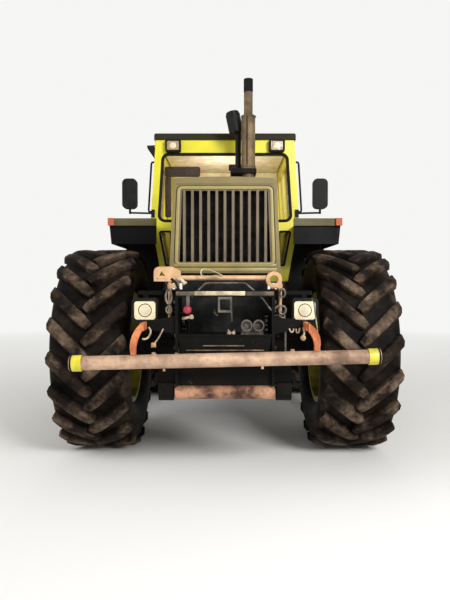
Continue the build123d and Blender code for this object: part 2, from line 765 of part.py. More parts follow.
with BuildPart() as cab_roof:
    block(-cab_top_half - roof_over, cab_top_half + roof_over, cab_y0 - roof_over, cab_y1 + roof_over,
          cab_z1, roof_z1)
    fillet(cab_roof.edges().group_by(Axis.Z)[-1], roof_r)
save(cab_roof, "cab_roof")

with BuildPart() as cab_glass:
    front_glass = Plane.XZ.offset(-(cab_y0 + glass_in + glass_t / 2))
    rear_glass = Plane.XZ.offset(-(cab_y1 - glass_in - glass_t / 2))
    rounded_window(front_glass, screen_points, screen_r, glass_t / 2, Mode.ADD, grow=-seat_gap)
    rounded_window(front_glass, foot_points, foot_pane_r, glass_t / 2, Mode.ADD, grow=-seat_gap)
    rounded_window(front_glass, foot_right_points, foot_pane_r, glass_t / 2, Mode.ADD, grow=-seat_gap)
    rounded_window(rear_glass, rear_points, window_r, glass_t / 2, Mode.ADD, grow=-seat_gap)
with BuildPart() as quarter_glass:
    for side in (1, -1):
        prism(Plane.XZ.offset(-quarter_y1), wall_band(side, side_glass_z0 - 20, side_glass_z1 + 20, glass_in,
                                                      glass_in + glass_t), quarter_len)
    rounded_window(Plane.YZ, quarter_points, window_r, belt_half + 10, Mode.INTERSECT, grow=-seat_gap)
with BuildPart() as all_cab_glass:
    add(cab_glass.part)
    add(quarter_glass.part)
save(all_cab_glass, "cab_glass")

# ================================================================ doors, hinged at their front edge
door_a = door_y0 + door_gap
door_b = door_y0 + door_len - door_rear_gap
door_windows = (("upper", side_glass_z0, side_glass_z1), ("lower", low_glass_z0, low_glass_z1))
for side, suffix in ((1, "left"), (-1, "right")):
    with BuildPart() as door:
        prism(Plane.XZ.offset(-door_b), wall_band(side, door_z0, door_z1, 0, wall), door_b - door_a)
        for pane, z_low, z_high in door_windows:
            pane_points = [(door_a + door_post, z_low), (door_b - door_post, z_low),
                           (door_b - door_post, z_high), (door_a + door_post, z_high)]
            rounded_window(Plane.YZ.offset(side * belt_half), pane_points, window_r, 250, Mode.SUBTRACT)
        for hinge_mid in door_hinge_z:
            skin = side_x(hinge_mid)
            block(side * (skin - 20), side * (door_hinge_x + 5), door_a, door_a + hinge_foot,
                  hinge_mid, hinge_mid + door_hinge_h)
            block(side * (door_hinge_x - 5), side * (door_hinge_x + 5), door_y0, door_a + hinge_foot,
                  hinge_mid, hinge_mid + door_hinge_h)
            rod((side * door_hinge_x, door_y0, hinge_mid),
                (side * door_hinge_x, door_y0, hinge_mid + door_hinge_h), door_hinge_r)
            rod((side * door_hinge_x, door_y0, hinge_mid - 1),
                (side * door_hinge_x, door_y0, hinge_mid + door_hinge_h + 1), door_pin_r + shaft_fit,
                mode=Mode.SUBTRACT)
    save(door, f"door_{suffix}")
    panes = []
    for pane, z_low, z_high in door_windows:
        pane_points = [(door_a + door_post, z_low), (door_b - door_post, z_low),
                       (door_b - door_post, z_high), (door_a + door_post, z_high)]
        with BuildPart() as pane_part:
            prism(Plane.XZ.offset(-door_b), wall_band(side, z_low - 20, z_high + 20, glass_in,
                                                      glass_in + glass_t), door_b - door_a)
            rounded_window(Plane.YZ.offset(side * belt_half), pane_points, window_r, 250, Mode.INTERSECT,
                           grow=-seat_gap)
        panes.append(pane_part.part)
    with BuildPart() as door_glass:
        add(panes)
    save(door_glass, f"door_glass_{suffix}")

# ================================================================ driver's place
floor_z = cab_z0 + floor_t
seat_y = cab_y0 + 900
cushion_z0 = floor_z + 330
cushion_z1 = floor_z + 450
back_profile = [(seat_y + 168, cushion_z1 - 20), (seat_y + 262, cushion_z1 - 20), (seat_y + 350, cushion_z1 + 330),
                (seat_y + 372, cushion_z1 + 560), (seat_y + 290, cushion_z1 + 560), (seat_y + 262, cushion_z1 + 330)]
with BuildPart() as driver_seat:
    # pedestal narrowing upwards, cushion and back with rolled edges
    with BuildSketch(Plane.XY.offset(floor_z)):
        with Locations((0, seat_y + 10)):
            Rectangle(340, 340)
    extrude(amount=cushion_z0 - floor_z, taper=8)
    with BuildSketch(Plane.XY.offset(cushion_z0)):
        with Locations((0, seat_y)):
            RectangleRounded(500, 500, 70)
    extrude(amount=cushion_z1 - cushion_z0)
    chamfer(driver_seat.edges().group_by(Axis.Z)[-1], 24)
    with BuildSketch(Plane.YZ.offset(-240)):
        with BuildLine():
            Polyline(*back_profile, close=True)
        make_face()
        fillet(vertices().group_by(Axis.Y)[-1], 30)
    extrude(amount=480)
save(driver_seat, "driver_seat")

console_profile = [(cab_y0 + wall, floor_z), (cab_y0 + wall + 200, floor_z), (cab_y0 + wall + 250, floor_z + 560),
                   (cab_y0 + wall + 190, floor_z + 640), (cab_y0 + wall, floor_z + 640)]
with BuildPart() as steering_console:
    prism(Plane.YZ.offset(-190), console_profile, 380)
    wheel_centre = Vector(0, cab_y0 + 430, floor_z + 900)
    column_foot = Vector(0, cab_y0 + 180, floor_z + 560)
    rod(tuple(column_foot), tuple(wheel_centre), 30)
    with BuildSketch(Plane(origin=wheel_centre, x_dir=(1, 0, 0), z_dir=wheel_centre - column_foot)):
        Circle(wheel_rim_r)
        Circle(wheel_rim_r - 30, mode=Mode.SUBTRACT)
        with PolarLocations(0, 3, start_angle=90):
            with Locations((100, 0)):
                Rectangle(200, 34)
        Circle(48)
    extrude(amount=26)
save(steering_console, "steering_console")

# ================================================================ fenders
with BuildPart() as front_fenders:
    plan = [(fender_in, fender_y0), (fender_out, fender_y0), (fender_out, fender_y1), (fender_cab_x, fender_y1),
            (fender_cab_x, cab_y0), (fender_in + fender_splay, cab_y0)]
    prism(Plane.XY.offset(fender_top - fender_t), plan, fender_t)
    # rolled front edge, the wall behind it and the outer skirt, all above the tyre
    lip_y1 = fender_y0 + 26
    lip_z0 = fender_top - fender_lip
    block(fender_in, fender_out, fender_y0, lip_y1, lip_z0, fender_top)
    prism(Plane.XZ.offset(-(lip_y1 + fender_t)),
          [(fender_in, fender_top), (fender_in, fender_wall_z), (fender_out - fender_rake, fender_wall_z),
           (fender_out, fender_top)], fender_t)
    prism(Plane.XZ.offset(-fender_y1),
          [(fender_out, fender_top), (fender_out - fender_t, fender_top),
           (fender_out - fender_rake - fender_t, fender_wall_z), (fender_out - fender_rake, fender_wall_z)],
          fender_y1 - lip_y1)
    # panel down behind the wheel, cut to follow the side of the cab
    foot_y = front_y + fender_back
    prism(Plane.YZ.offset(cab_low_half),
          [(fender_y1 - fender_t, fender_top), (fender_y1, fender_top), (foot_y + fender_t, fender_top - 260),
           (foot_y + fender_t, fender_foot_z), (foot_y, fender_foot_z), (foot_y, fender_top - 250)],
          fender_out - cab_low_half)
    cab_side = [(side_x(z) + fender_cab_gap, z) for z in (cab_z0, belt_z)]
    prism(Plane.XZ.offset(-(foot_y + 2 * fender_t)),
          [(0, fender_foot_z - 1), (cab_side[0][0], fender_foot_z - 1)] + cab_side + [(0, belt_z)],
          foot_y + 2 * fender_t - cab_y0, mode=Mode.SUBTRACT)
    mirror(about=Plane.YZ)
save(front_fenders, "front_fenders")

with BuildPart() as rear_fenders:
    arch_plane = Plane.YZ.offset(deck_half)
    with BuildSketch(arch_plane):
        with BuildLine():
            corners = [(rear_y + radius * cos(radians(angle)), axle_z + radius * sin(radians(angle)))
                       for radius in (arch_r + arch_t, arch_r) for angle in (180 - arch_from, 90, 180 - arch_to)]
            out_front, out_top, out_back, in_front, in_top, in_back = corners
            ThreePointArc(out_front, out_top, out_back)
            Line(out_back, in_back)
            ThreePointArc(in_back, in_top, in_front)
            Line(in_front, out_front)
        make_face()
    extrude(amount=arch_out - deck_half)
    # inner wall from the deck's edge up to the arch
    with BuildSketch(arch_plane):
        with BuildLine():
            wall_half = sqrt((arch_r + arch_t) ** 2 - (deck_z0 - axle_z) ** 2)
            low_a = (rear_y - wall_half, deck_z0)
            low_b = (rear_y + wall_half, deck_z0)
            ThreePointArc(low_a, (rear_y, axle_z + arch_r + arch_t), low_b)
            Line(low_b, low_a)
        make_face()
    extrude(amount=arch_t)
    mirror(about=Plane.YZ)
save(rear_fenders, "rear_fenders")

# ================================================================ rear deck on its posts
with BuildPart() as rear_deck:
    block(-deck_half, deck_half, deck_y0, deck_y1, deck_z0, deck_z0 + deck_t)
    for side in (1, -1):
        for post_y in (deck_y0 + 60, deck_y1 - 160):
            block(side * rail_in, side * rail_out, post_y, post_y + 100, rail_z1, deck_z0)
save(rear_deck, "rear_deck")

# ================================================================ fuel tank and battery box with steps
with BuildPart() as side_tanks:
    with BuildSketch(Plane.XZ.offset(-(tank_y0 + tank_len))):
        with Locations(((tank_in + tank_out) / 2, (tank_z0 + tank_z1) / 2)):
            Rectangle(tank_out - tank_in, tank_z1 - tank_z0)
        fillet(vertices().group_by(Axis.X)[-1], tank_r)
    extrude(amount=tank_len)
    for step_z in (tank_z0, tank_z0 + 330):
        block(tank_out - 20, step_out, tank_y0 + 40, tank_y0 + tank_len - 40, step_z + 80, step_z + 80 + step_t)
    mirror(about=Plane.YZ)
save(side_tanks, "side_tanks")

# ================================================================ front carrier, guard bar, roller
beam_back = carrier_y0 + 50
# chain hook as (outwards from the carrier's end, up from hook_z)
hook_profile = [(0, 0), (30, -58), (62, -58), (84, -30), (66, -22), (54, -34), (40, -30), (26, 44), (0, 44)]
with BuildPart() as front_carrier:
    block(-carrier_half, carrier_half, carrier_y0 + 40, carrier_y1, carrier_z0, carrier_z1)
    for side in (1, -1):
        # side plate, deep at the nose and cut away under the frame rail
        plate_in = side * (plate_x - plate_t)
        prism(Plane.YZ.offset(plate_in),
              [(carrier_y0, carrier_z0), (carrier_y1, carrier_z0), (rail_front + 200, rail_z0),
               (rail_front + 200, rail_z1), (carrier_y1 + 30, plate_top), (carrier_y0, plate_top)],
              side * plate_t)
        block(side * rail_out, plate_in, rail_front, rail_front + 200, rail_z0, rail_z1)
        # lamp bracket arm, the arm that carries the tusk, and the hanger's foot
        block(side * plate_x, side * (lamp_x + 60), lamp_y0 + 60, lamp_y0 + lamp_depth, lamp_arm_z,
              lamp_arm_z + lamp_arm_t)
        block(side * (lamp_x - 20), side * (lamp_x + 20), lamp_y0 + 60, lamp_y0 + lamp_depth - 35,
              lamp_z + lamp_h / 2, lamp_arm_z + 10)
        prism(Plane.XZ.offset(-(carrier_y0 + 90)),
              [(side * plate_x, tusk_arm_z - tusk_arm_root), (side * plate_x, tusk_arm_z + tusk_arm_root),
               (side * tusk_arm_end, tusk_arm_z + tusk_arm_tip), (side * tusk_arm_end, tusk_arm_z - tusk_arm_tip)], 70)
        block(side * plate_x, side * (hanger_x + 20), cross_y - 18, cross_y + 18, hanger_foot_z - 26, hanger_foot_z)
        # rounded lugs that hold the roller's pin
        with BuildSketch(Plane.YZ.offset(side * lug_in)):
            with Locations((roller_y, roller_z)):
                Circle(lug_r)
            with Locations((roller_y, (roller_z + carrier_z0) / 2 + 10)):
                Rectangle(2 * lug_r, carrier_z0 - roller_z + 20)
        extrude(amount=side * (carrier_half - lug_in))
        # chain hook at the carrier's end
        prism(Plane.XZ.offset(-(carrier_y0 + 70)),
              [(side * (carrier_half + x), hook_z + z) for x, z in hook_profile], 30)
    rod((-lug_in - 1, roller_y, roller_z), (lug_in + 1, roller_y, roller_z), roller_pin_r)
    # upper cross beam, the shelf in front of the nose and the ballast under it
    block(-plate_x, plate_x, carrier_y0, beam_back, upper_beam_z0, upper_beam_z1)
    block(-plate_x, plate_x, carrier_y0, rail_front, shelf_z, shelf_z + shelf_t)
    prism(Plane.XZ.offset(-rail_front),
          [(-ballast_half, shelf_z), (ballast_half, shelf_z), (ballast_low_half, carrier_z1),
           (-ballast_low_half, carrier_z1)], rail_front - carrier_y0 - 10)
save(front_carrier, "front_carrier")


def guard_mid(x):
    """Height of the guard bar's middle line at x along it."""
    return guard_z + guard_drop * x / guard_half


with BuildPart() as guard_bar:
    rod((-guard_half, guard_y, guard_mid(-guard_half)), (guard_half, guard_y, guard_mid(guard_half)), guard_r)
    for side in (1, -1):
        collar_in = side * (guard_half - collar_len)
        collar_end = side * guard_half
        rod((collar_in, guard_y, guard_mid(collar_in)), (collar_end, guard_y, guard_mid(collar_end)), collar_r)
        block(side * (plate_x - plate_t), side * plate_x, guard_y, carrier_y0, guard_z - 32, guard_z + 32)
    chamfer(guard_bar.edges().filter_by(GeomType.CIRCLE).filter_by(lambda e: abs(e.radius - collar_r) < 1), 4)
save(guard_bar, "guard_bar")

with BuildPart() as tusk_arms:
    guard_rise = guard_r * sqrt(1 + (guard_drop / guard_half) ** 2)
    for side in (1, -1):
        foot_out_x = side * (tusk_x + tusk_w / 2)
        foot_in_x = side * (tusk_x - tusk_w / 2)
        foot_mid_z = guard_mid(side * tusk_x) + guard_rise
        with BuildSketch(Plane.XZ.offset(-(guard_y + tusk_t / 2))):
            with BuildLine():
                head = (side * tusk_root_x, tusk_top_z)
                throat = (side * tusk_root_x, tusk_top_z - tusk_depth)
                foot_out = (foot_out_x, guard_mid(foot_out_x) + guard_rise)
                foot_in = (foot_in_x, guard_mid(foot_in_x) + guard_rise)
                ThreePointArc(head, (side * (tusk_x + tusk_bulge), foot_mid_z + 120), foot_out)
                Line(foot_out, foot_in)
                ThreePointArc(foot_in, (side * (tusk_x - 24), foot_mid_z + 80), throat)
                Line(throat, head)
            make_face()
        extrude(amount=tusk_t)
        # root bar back to the carrier's arm
        block(side * (tusk_root_x - 14), side * (tusk_root_x + 12), guard_y, carrier_y0 + 20, tusk_top_z - 56,
              tusk_top_z - 2)
save(tusk_arms, "tusk_arms")

with BuildPart() as front_roller:
    rod((-lug_in + ear_gap, roller_y, roller_z), (lug_in - ear_gap, roller_y, roller_z), roller_r)
    chamfer(front_roller.edges().filter_by(GeomType.CIRCLE), 6)
    rod((-lug_in, roller_y, roller_z), (lug_in, roller_y, roller_z), roller_pin_r + seat_gap, mode=Mode.SUBTRACT)
save(front_roller, "front_roller")

# ================================================================ front lifting shaft and tow fittings
# end bracket and its hole as (x from the shaft's end, z from the shaft)
bracket_profile = [(-32, -26), (168, -26), (168, 50), (110, 84), (-32, 84)]
bracket_hole = [(-8, -8), (66, -8), (28, 52)]
boss_z = cross_z - 12
with BuildPart() as lift_crossbar:
    rod((cross_right, cross_y, cross_z), (boss_x, cross_y, cross_z), cross_r)
    # end bracket on the right with its three-cornered hole
    with BuildSketch(Plane.XZ.offset(-(cross_y + bracket_t / 2))):
        with BuildLine():
            Polyline(*[(cross_right + x, cross_z + z) for x, z in bracket_profile], close=True)
        make_face()
        fillet(vertices().group_by(Axis.Y)[-1], bracket_r)
        with BuildLine():
            Polyline(*[(cross_right + x, cross_z + z) for x, z in bracket_hole], close=True)
        make_face(mode=Mode.SUBTRACT)
    extrude(amount=bracket_t)
    # eye boss on the left, posts down to the side plates, and the hangers
    rod((boss_x, cross_y - 30, boss_z), (boss_x, cross_y + 30, boss_z), boss_eye_r)
    rod((boss_x, cross_y - 31, boss_z), (boss_x, cross_y + 31, boss_z), boss_hole_r, mode=Mode.SUBTRACT)
    for side in (1, -1):
        block(side * (plate_x - plate_t), side * plate_x, cross_y - 25, cross_y + 25, plate_top,
              cross_z - boss_eye_r)
        rod((side * hanger_x, cross_y, hanger_foot_z), (side * hanger_x, cross_y, boss_z), hanger_r)
        block(side * (plate_x - plate_t), side * (hanger_x + 16), cross_y - 16, cross_y + 16, cross_z - 78,
              cross_z - 44)
    block(-plate_x, -plate_x + plate_t, cross_y - 25, cross_y + 25, cross_z - boss_eye_r, cross_z)
save(lift_crossbar, "lift_crossbar")

with BuildPart() as tow_fittings:
    # open jaw for a drop pin, hung under the upper cross beam
    jaw_y0 = carrier_y0 - jaw_reach
    block(-jaw_half, jaw_half, jaw_y0, beam_back, jaw_z0, jaw_z1)
    block(-jaw_half + jaw_cheek, jaw_half - jaw_cheek, jaw_y0 - 1, beam_back + 1, jaw_z0 + jaw_t, jaw_z1 - jaw_t,
          mode=Mode.SUBTRACT)
    with Locations((0, jaw_y0 + 45, (jaw_z0 + jaw_z1) / 2)):
        Cylinder(hitch_pin_r, jaw_z1 - jaw_z0 + 4, mode=Mode.SUBTRACT)
    # brake coupling head under the beam, and two ring couplings on a plate that stands on the shelf
    rod((brake_x, carrier_y0 - 70, brake_z), (brake_x, carrier_y0, brake_z), brake_r)
    block(brake_x - 12, brake_x + 12, carrier_y0 - 18, carrier_y0, brake_z, upper_beam_z0 + 20)
    ring_back = carrier_y0 + ring_plate_t
    with BuildSketch(Plane.XZ.offset(-ring_back)):
        with BuildLine():
            Polyline((ring_places[0] - ring_r, shelf_z + shelf_t), (ring_places[1] + ring_r, shelf_z + shelf_t),
                     (ring_places[1] + 20, ring_z), (ring_places[0] - 20, ring_z), close=True)
        make_face()
    extrude(amount=ring_plate_t)
    for ring_x in ring_places:
        rod((ring_x, carrier_y0 - 50, ring_z), (ring_x, ring_back, ring_z), ring_r)
        rod((ring_x, carrier_y0 - 51, ring_z), (ring_x, carrier_y0 - 20, ring_z), ring_r - 10, mode=Mode.SUBTRACT)
save(tow_fittings, "tow_fittings")

# ================================================================ lamps
with BuildPart() as lamp_housings:
    for side in (1, -1):
        with BuildSketch(Plane.XZ.offset(-(lamp_y0 + lamp_depth - 25))):
            with Locations((side * lamp_x, lamp_z)):
                RectangleRounded(lamp_w, lamp_h, 34)
        extrude(amount=lamp_depth - 25)
        with BuildSketch(Plane.XZ.offset(-lamp_y0)):
            with Locations((side * lamp_x, lamp_z)):
                RectangleRounded(lens_w + 2 * seat_gap, lens_h + 2 * seat_gap, 24)
        extrude(amount=-2 * lens_t, mode=Mode.SUBTRACT)
        # roof lamps on the header
        with BuildSketch(Plane.XZ.offset(-cab_y0)):
            with Locations((side * work_lamp_x, work_lamp_z)):
                RectangleRounded(work_lamp_w, work_lamp_h, 20)
        extrude(amount=work_lamp_d)
        with BuildSketch(Plane.XZ.offset(-(cab_y0 - work_lamp_d))):
            with Locations((side * work_lamp_x, work_lamp_z)):
                RectangleRounded(work_lens_w + 2 * seat_gap, work_lens_h + 2 * seat_gap, 14)
        extrude(amount=-2 * lens_t, mode=Mode.SUBTRACT)
save(lamp_housings, "lamp_housings")

with BuildPart() as lamp_lenses:
    for side in (1, -1):
        with BuildSketch(Plane.XZ.offset(-(lamp_y0 + 2 * lens_t))):
            with Locations((side * lamp_x, lamp_z)):
                RectangleRounded(lens_w, lens_h, 24)
        extrude(amount=lens_t)
        with BuildSketch(Plane.XZ.offset(-(cab_y0 - work_lamp_d + 2 * lens_t))):
            with Locations((side * work_lamp_x, work_lamp_z)):
                RectangleRounded(work_lens_w, work_lens_h, 14)
        extrude(amount=lens_t)
        # marker lamps at the fender corners, tail lamps on the deck's rear edge
        block(side * (fender_out - marker_w), side * fender_out, fender_y0 - marker_t, fender_y0,
              fender_top - fender_lip, fender_top)
        block(side * (deck_half - 160), side * (deck_half - 20), deck_y1, deck_y1 + 40, deck_z0, deck_z0 + deck_t)
save(lamp_lenses, "lamp_lenses")

# ================================================================ mirrors
with BuildPart() as mirrors:
    for side in (1, -1):
        with BuildSketch(Plane.XZ.offset(-(mirror_y + mirror_t))):
            with Locations((side * mirror_x, mirror_z)):
                RectangleRounded(mirror_w, mirror_h, 50)
        extrude(amount=mirror_t)
        arm_z = mirror_z - mirror_h / 2 - 40
        root_x = side_x(arm_z) - 22
        block(side * (root_x - 18), side * (root_x + 18), cab_y0 - 24, cab_y0, arm_z - 40, arm_z + 40)
        rod((side * root_x, cab_y0 - 14, arm_z), (side * mirror_x, mirror_y + mirror_t / 2, arm_z), 10)
        rod((side * mirror_x, mirror_y + mirror_t / 2, arm_z - 12),
            (side * mirror_x, mirror_y + mirror_t / 2, mirror_z), 12)
save(mirrors, "mirrors")

# ================================================================ rear hitch, power take-off, linkage
with BuildPart() as rear_hitch:
    # housing behind the axle, up to the frame's rear members
    block(-rear_box_half, rear_box_half, rear_y + rear_diff_nose + seat_gap, hitch_face, pto_z - 60, rail_z0)
    rod((0, hitch_face, pto_z), (0, hitch_face + pto_len, pto_z), pto_r)
    # jaw for a drawbar eye
    for jaw_z in (hitch_z - 60, hitch_z + 40):
        block(-jaw_half - 10, jaw_half + 10, hitch_face, hitch_face + hitch_reach, jaw_z, jaw_z + 24)
    with Locations((0, hitch_y, hitch_z + 2)):
        Cylinder(hitch_pin_r, 140, mode=Mode.SUBTRACT)
    # cross shaft that the lower links turn on, and the bosses of the lifting shaft
    rod((-link_x - link_t / 2 - 20, link_y, link_z), (link_x + link_t / 2 + 20, link_y, link_z), link_pin_r)
    block(-150, 150, link_y - 45, link_y + 45, link_z - 45, pto_z - 60)
    for side in (1, -1):
        block(side * rock_boss_in, side * rock_boss_out, rock_y - 70, rock_y + 70, rail_z0, rock_z)
        rod((side * rock_boss_in, rock_y, rock_z), (side * rock_boss_out, rock_y, rock_z), rock_r + 25)
    rod((-rock_half, rock_y, rock_z), (rock_half, rock_y, rock_z), rock_r + shaft_fit, mode=Mode.SUBTRACT)
    # top link standing out above the jaw, with the eye for its pin
    link_eye = (0, hitch_face + top_link_len, top_link_z)
    rod((0, hitch_face, top_link_z), link_eye, top_link_r)
    rod((-30, *link_eye[1:]), (30, *link_eye[1:]), top_link_eye_r)
    rod((-31, *link_eye[1:]), (31, *link_eye[1:]), top_link_pin_r, mode=Mode.SUBTRACT)
save(rear_hitch, "rear_hitch")

with BuildPart() as lower_links:
    for side in (1, -1):
        root = side * link_x
        tip = side * link_end_x
        # straight root, a bar that spreads outwards, and a straight tip with the ball eye
        bar = [(root - link_t / 2, link_y - eye_r), (root + link_t / 2, link_y - eye_r),
               (root + link_t / 2, link_y + 160), (tip + link_t / 2, link_end_y - 200),
               (tip + link_t / 2, link_end_y - eye_r), (tip - link_t / 2, link_end_y - eye_r),
               (tip - link_t / 2, link_end_y - 200), (root - link_t / 2, link_y + 160)]
        prism(Plane.XY.offset(link_z - link_h / 2), bar, link_h)
        rod((tip - link_t / 2, link_end_y - eye_r, link_z), (tip + link_t / 2, link_end_y - eye_r, link_z), eye_r)
        rod((root - 30, link_y, link_z), (root + 30, link_y, link_z), link_pin_r + shaft_fit, mode=Mode.SUBTRACT)
        rod((tip - 30, link_end_y - eye_r, link_z), (tip + 30, link_end_y - eye_r, link_z), ball_eye_r,
            mode=Mode.SUBTRACT)
save(lower_links, "lower_links")

with BuildPart() as lift_arms:
    rod((-rock_half, rock_y, rock_z), (rock_half, rock_y, rock_z), rock_r)
    arm_end_y = rock_y + arm_len
    for side in (1, -1):
        arm_in = side * (arm_x - arm_t / 2)
        arm_out = side * (arm_x + arm_t / 2)
        prism(Plane.YZ.offset(arm_in), [(rock_y - 60, rock_z - 60), (rock_y - 60, rock_z + 60),
                                        (arm_end_y + 34, rock_z + 34), (arm_end_y + 34, rock_z - 34)],
              arm_out - arm_in)
        rod((side * (arm_x - 30), arm_end_y, rock_z), (side * (arm_x + 30), arm_end_y, rock_z),
            rod_r + shaft_fit, mode=Mode.SUBTRACT)
save(lift_arms, "lift_arms")

with BuildPart() as lift_rods:
    foot_z = link_z + 6
    for side in (1, -1):
        # pin through the arm, a straight head beside it, and the rod slanting out to the lower link
        hang_x = side * (arm_x - arm_t / 2 - ear_gap - rod_r)
        knee_z = rock_z - rod_knee
        rod((side * (arm_x + arm_t / 2 + 6), arm_end_y, rock_z), (hang_x - side * rod_r, arm_end_y, rock_z), rod_r)
        rod((hang_x, arm_end_y, rock_z), (hang_x, arm_end_y, knee_z), rod_r)
        rod((hang_x, arm_end_y, knee_z), (side * rod_foot_x, arm_end_y, foot_z), rod_r)
        with Locations((hang_x, arm_end_y, knee_z)):
            Sphere(rod_r)
save(lift_rods, "lift_rods")
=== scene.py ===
"""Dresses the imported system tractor: paint, rubber, glass, lugged tyres and the small fittings."""
import math

import bmesh
import bpy
from mathutils import Matrix, Vector


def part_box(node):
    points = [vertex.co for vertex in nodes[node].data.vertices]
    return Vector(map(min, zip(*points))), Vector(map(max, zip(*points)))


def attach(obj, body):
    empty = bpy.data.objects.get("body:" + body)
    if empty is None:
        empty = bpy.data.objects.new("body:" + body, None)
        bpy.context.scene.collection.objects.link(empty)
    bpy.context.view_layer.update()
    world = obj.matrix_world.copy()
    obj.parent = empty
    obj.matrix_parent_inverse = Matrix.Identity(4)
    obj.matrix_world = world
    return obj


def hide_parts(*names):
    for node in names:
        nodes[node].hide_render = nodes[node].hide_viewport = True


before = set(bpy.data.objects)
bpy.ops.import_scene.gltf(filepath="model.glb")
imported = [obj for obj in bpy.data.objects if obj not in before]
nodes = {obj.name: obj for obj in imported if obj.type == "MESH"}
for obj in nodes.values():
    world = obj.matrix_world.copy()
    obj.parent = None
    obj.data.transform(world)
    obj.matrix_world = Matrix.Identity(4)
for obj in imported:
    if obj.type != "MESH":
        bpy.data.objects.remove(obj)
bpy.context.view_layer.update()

UP, DOWN, AHEAD, BACK = (0, 0, 1), (0, 0, -1), (0, -1, 0), (0, 1, 0)
SIDES = (1, -1)              # left and right
WHEELS = [(f"{end}_{across}", side) for end in ("front", "rear")
          for across, side in (("left", 1), ("right", -1))]


# ------------------------------------------------------------------ places read from the frame
def middle(name):
    """The middle of a CAD node's box."""
    low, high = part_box(name)
    return (low + high) / 2


HOOD_LOW, HOOD_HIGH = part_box("hood_shell")
GRILLE_LOW, GRILLE_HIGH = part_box("grille")
CAB_LOW, CAB_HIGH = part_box("cab_shell")
CAB_FRONT, CAB_BACK = CAB_LOW.y, CAB_HIGH.y
TYRE_LOW, TYRE_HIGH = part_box("tyre_front_left")
AXLE_Z = middle("tyre_front_left").z
FRONT_Y = middle("tyre_front_left").y
REAR_Y = middle("tyre_rear_left").y
TYRE_R = TYRE_HIGH.z - AXLE_Z
TYRE_HALF = (TYRE_HIGH.x - TYRE_LOW.x) / 2
FENDER_LIP_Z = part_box("front_fenders")[1].z - 0.07
SMOKED_Z = 2.14              # the panes below this height are smoked
RIB_MM = 14.28               # from rib to rib of a lamp's glass


# ------------------------------------------------------------------ materials
def linear(colour):
    """An sRGB hex colour as linear RGBA."""
    value = colour.lstrip("#")
    parts = [int(value[i:i + 2], 16) / 255 for i in (0, 2, 4)]
    return [c / 12.92 if c <= 0.04045 else ((c + 0.055) / 1.055) ** 2.4 for c in parts] + [1.0]


def add(tree, kind, inputs=None, out=0, **settings):
    """Adds a node with its settings, sets or links its inputs, and gives back the output asked for."""
    made = tree.nodes.new("ShaderNode" + kind)
    for name, value in settings.items():
        setattr(made, name, value)
    for name, value in (inputs or {}).items():
        socket = made.inputs[name]
        if isinstance(value, bpy.types.NodeSocket):
            tree.links.new(value, socket)
        else:
            socket.default_value = linear(value) if isinstance(value, str) else value
    return made.outputs[out] if made.outputs else made


def start_material(name):
    """An empty node material, its tree and its Object coordinates."""
    material = bpy.data.materials.new(name)
    material.use_nodes = True
    tree = material.node_tree
    tree.nodes.clear()
    return material, tree, add(tree, "TexCoord", out="Object")


def per_metre(size_mm):
    """The scale of a noise whose patches are this many millimetres across."""
    return 1000 / size_mm


def painted(name, colour, faded, dirt, rough=0.35, coat=0.25, wear=0.1, grime=(0.7, 1.7), gloss=0.5):
    """Sprayed machine enamel. It fades in clouds 420 mm wide and chips to a dark primer in nicks of 46 mm.
    Road dirt lies on it in patches of 160 mm, all of it below grime[0] and none above grime[1].
    Orange peel is too fine to show, so it is drawn 24 mm wide."""
    material, tree, place = start_material(name)
    cloud = add(tree, "TexNoise", {"Vector": place, "Scale": per_metre(420), "Detail": 4, "Roughness": 0.6})
    cloud = add(tree, "MapRange", {"Value": cloud, "From Min": 0.3, "From Max": 0.7})
    peel = add(tree, "TexNoise", {"Vector": place, "Scale": per_metre(24), "Detail": 8, "Roughness": 0.6})
    chips = add(tree, "TexNoise", {"Vector": place, "Scale": per_metre(46), "Detail": 9, "Roughness": 0.72})
    chips = add(tree, "MapRange", {"Value": chips, "From Min": 0.72 - wear, "From Max": 0.735 - wear * 0.9})
    patch = add(tree, "TexNoise", {"Vector": place, "Scale": per_metre(160), "Detail": 7, "Roughness": 0.65})
    patch = add(tree, "MapRange", {"Value": patch, "From Min": 0.36, "From Max": 0.66, "To Max": 0.75})
    low = add(tree, "SeparateXYZ", {"Vector": place}, out="Z")
    low = add(tree, "MapRange", {"Value": low, "From Min": grime[1], "From Max": grime[0]})
    soil = add(tree, "Math", {0: low, 1: patch}, operation="MULTIPLY")
    tone = add(tree, "Mix", {0: cloud, 6: colour, 7: faded}, out=2, data_type="RGBA")
    tone = add(tree, "Mix", {0: soil, 6: tone, 7: dirt}, out=2, data_type="RGBA")
    tone = add(tree, "Mix", {0: chips, 6: tone, 7: "#4A4238"}, out=2, data_type="RGBA")
    shade = add(tree, "MapRange", {"Value": peel, "From Min": 0.2, "From Max": 0.8,
                                   "To Min": rough - 0.05, "To Max": rough + 0.11})
    shade = add(tree, "Math", {0: soil, 1: 0.4, 2: shade}, operation="MULTIPLY_ADD")
    waves = add(tree, "Bump", {"Height": peel, "Distance": 0.00025, "Strength": 0.25})
    add(tree, "OutputMaterial", {"Surface": add(tree, "BsdfPrincipled", {
        "Base Color": tone, "Roughness": shade, "Coat Weight": coat, "Coat Roughness": 0.18,
        "Specular IOR Level": gloss, "Normal": waves})})
    return material


